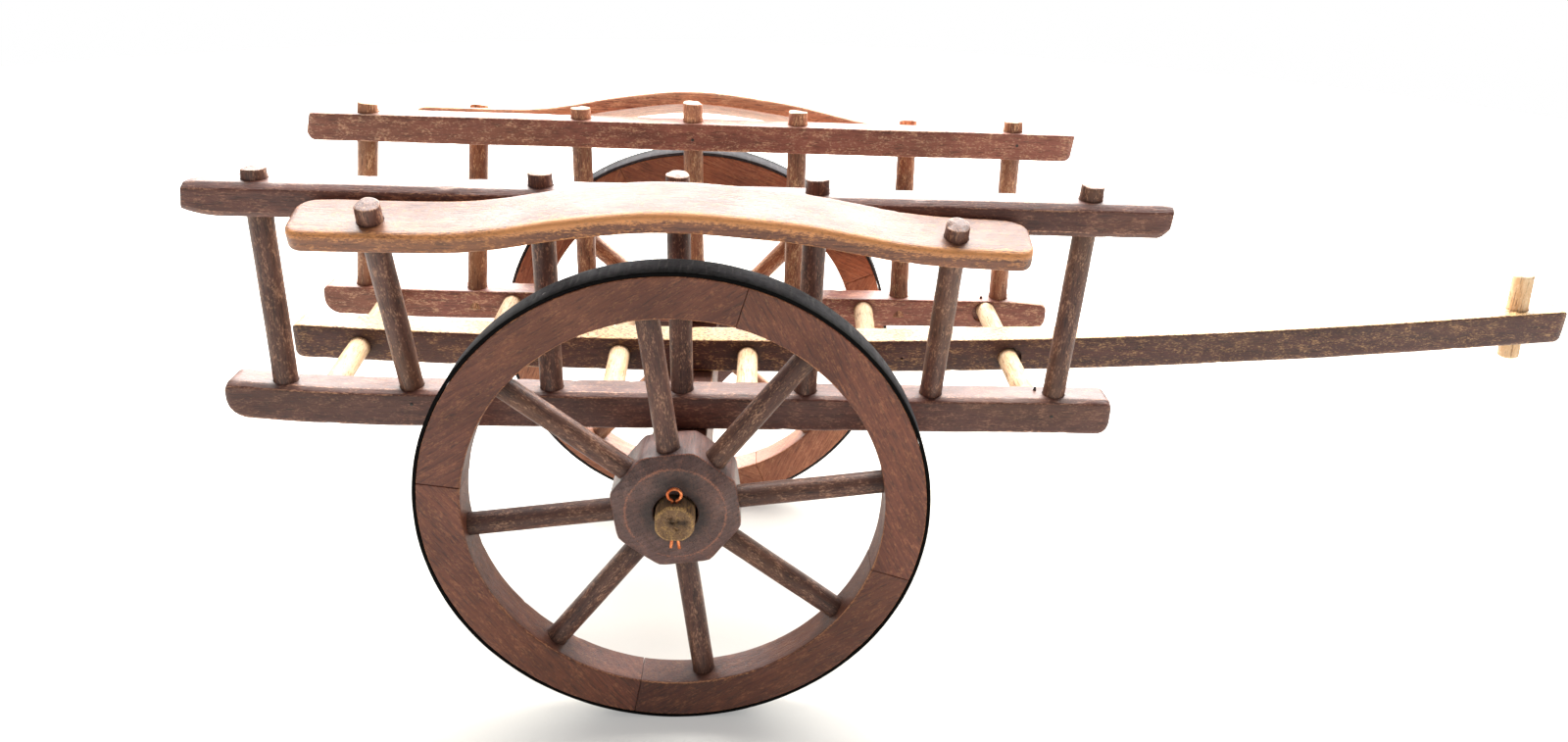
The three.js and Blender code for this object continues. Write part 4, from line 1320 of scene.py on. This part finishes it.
    hub_x = [2 * math.pi * k / 240 for k in range(240)]
    points, faces, weight, corner = skinned(hub_x, hub_outline, lambda t, r, y: at(r, t, y), closed=True)
    grime_and_shade_spots = [(at(HUB_BORE_R + 1, t, HUB_Y_OUT), 5.0, 0.8) for t in np.radians(range(0, 360, 20))]
    grime_and_shade_spots += [
        (at(15, math.radians(80), HUB_Y_OUT), 9.0, 0.9), (at(15, math.radians(105), HUB_Y_OUT), 7.0, 0.8)
    ]
    # Darker where the spokes go in: painted shade, and grime.
    grime_and_shade_spots += [(at(HUB_APOTHEM, t), 8.5, 0.55) for t in spoke_angles]
    make(
        f"hub_{name}_octagon", points, faces, wheel, HUB, along=(0, 1, 0), edge=weight, node=f"{name}_hub",
        slot="hub_wood", hand=0.12, grime_and_shade_spots=grime_and_shade_spots, origin=(0, side * (HUB_Y_IN + HUB_Y_OUT) / 2, TYRE_R),
        cutters=[bore(at(SPOKE_R_IN, t), at(60, t), before=GAP, gap=0.16) for t in spoke_angles]
    )


# ------------------------------------------------------------ floor, lights, camera
FLOOR_REACH = 2.0


def floor_material():
    """Pale floor that glows, more with distance, so that it grows into the white surroundings: painted light, which
    also lifts the shade round the cart.
    """
    n = Nodes("pale floor")
    p = n.add("ShaderNodeTexCoord", out=3)
    cloud = n.noise(p, (2.5, 2.5, 2.5), 3, 0.5)
    fine = n.noise(p, (500, 500, 500), 2, 0.5)
    colour = n.mix(n.ramp(cloud, 0.3, 0.7), linear((182, 179, 170)), linear((190, 188, 182)))
    n.set("Base Color", colour)
    n.set("Roughness", n.ramp(fine, 0.3, 0.7, 0.7, 0.9))
    n.set("Specular IOR Level", 0.1)
    n.set("Normal", n.bump(0.08, 0.0005, fine))
    distance = n.add("ShaderNodeVectorMath", out=1, inputs={0: p}, operation="LENGTH")
    # The glow: emission from 0.3 near the middle up to 1.0 by 1.1 m.
    n.set("Emission Color", (1.0, 1.0, 1.0, 1.0))
    n.set("Emission Strength", n.ramp(distance, 0.1, 1.1, 0.3, 1.0))
    return n.material


def floor():
    mesh = bpy.data.meshes.new("floor")
    turn = [2 * math.pi * k / 96 for k in range(96)]
    mesh.from_pydata(
        [(FLOOR_REACH * math.cos(t), FLOOR_REACH * math.sin(t), 0) for t in turn], [], [tuple(range(96))]
    )
    thing = bpy.data.objects.new("floor", mesh)
    bpy.context.scene.collection.objects.link(thing)
    mesh.materials.append(floor_material())


floor()


def area_light(name, at, look, size, height, power, colour):
    data = bpy.data.lights.new(name, "AREA")
    data.shape = "RECTANGLE"
    data.size = size
    data.size_y = height
    data.energy = power
    data.color = colour
    thing = bpy.data.objects.new(name, data)
    thing.location = at
    thing.rotation_euler = (Vector(look) - Vector(at)).to_track_quat("-Z", "Y").to_euler()
    thing.visible_camera = False
    bpy.context.scene.collection.objects.link(thing)


area_light("back_softbox", (0.1, 1.35, 1.45), (0, 0, 0.1), 3.0, 2.3, 300, (1.0, 0.985, 0.96))


def studio():
    """White to look at, but lighting the object less from the front than from behind."""
    room = bpy.data.worlds.new("room")
    room.use_nodes = True
    tree = room.node_tree
    tree.nodes.clear()
    output = tree.nodes.new("ShaderNodeOutputWorld")
    seen = tree.nodes.new("ShaderNodeBackground")
    lit = tree.nodes.new("ShaderNodeBackground")
    blend = tree.nodes.new("ShaderNodeMixShader")
    path = tree.nodes.new("ShaderNodeLightPath")
    direction = tree.nodes.new("ShaderNodeTexCoord")
    split = tree.nodes.new("ShaderNodeSeparateXYZ")
    ramp = tree.nodes.new("ShaderNodeMapRange")
    ramp.interpolation_type = "SMOOTHSTEP"
    for key, value in (("From Min", -0.5), ("From Max", 0.6), ("To Min", 0.36), ("To Max", 1.2)):
        ramp.inputs[key].default_value = value
    for start, end in (
        (direction.outputs["Generated"], split.inputs[0]), (split.outputs["Y"], ramp.inputs["Value"]),
        (ramp.outputs["Result"], lit.inputs["Strength"]), (path.outputs["Is Camera Ray"], blend.inputs[0]),
        (lit.outputs[0], blend.inputs[1]), (seen.outputs[0], blend.inputs[2]),
        (blend.outputs[0], output.inputs["Surface"])
    ):
        tree.links.new(start, end)
    for shade in (seen, lit):
        shade.inputs["Color"].default_value = (1.0, 1.0, 1.0, 1.0)
    seen.inputs["Strength"].default_value = 1.0
    bpy.context.scene.world = room


studio()
bpy.context.scene.view_settings.view_transform = "Standard"

YAW, PITCH, ROLL = (math.radians(v) for v in (4.28, 23.07, 2.70))
forward = Vector((math.sin(YAW) * math.cos(PITCH), math.cos(YAW) * math.cos(PITCH), -math.sin(PITCH)))
right = forward.cross(Vector((0, 0, 1))).normalized()
upward = right.cross(forward)
across_axis = right * math.cos(ROLL) + upward * math.sin(ROLL)
up_axis = upward * math.cos(ROLL) - right * math.sin(ROLL)
eye_data = bpy.data.cameras.new("camera")
eye_data.sensor_width = 36
eye_data.lens = 25.94
eye_data.shift_x = -0.0313
eye_data.shift_y = -0.0221
eye_data.clip_start = 0.01
eye = bpy.data.objects.new("camera", eye_data)
eye.matrix_world = Matrix.Translation((-0.0965, -0.5448, 0.3893)) @ Matrix(
    [across_axis, up_axis, -forward]
).transposed().to_4x4()
bpy.context.scene.collection.objects.link(eye)
bpy.context.scene.camera = eye
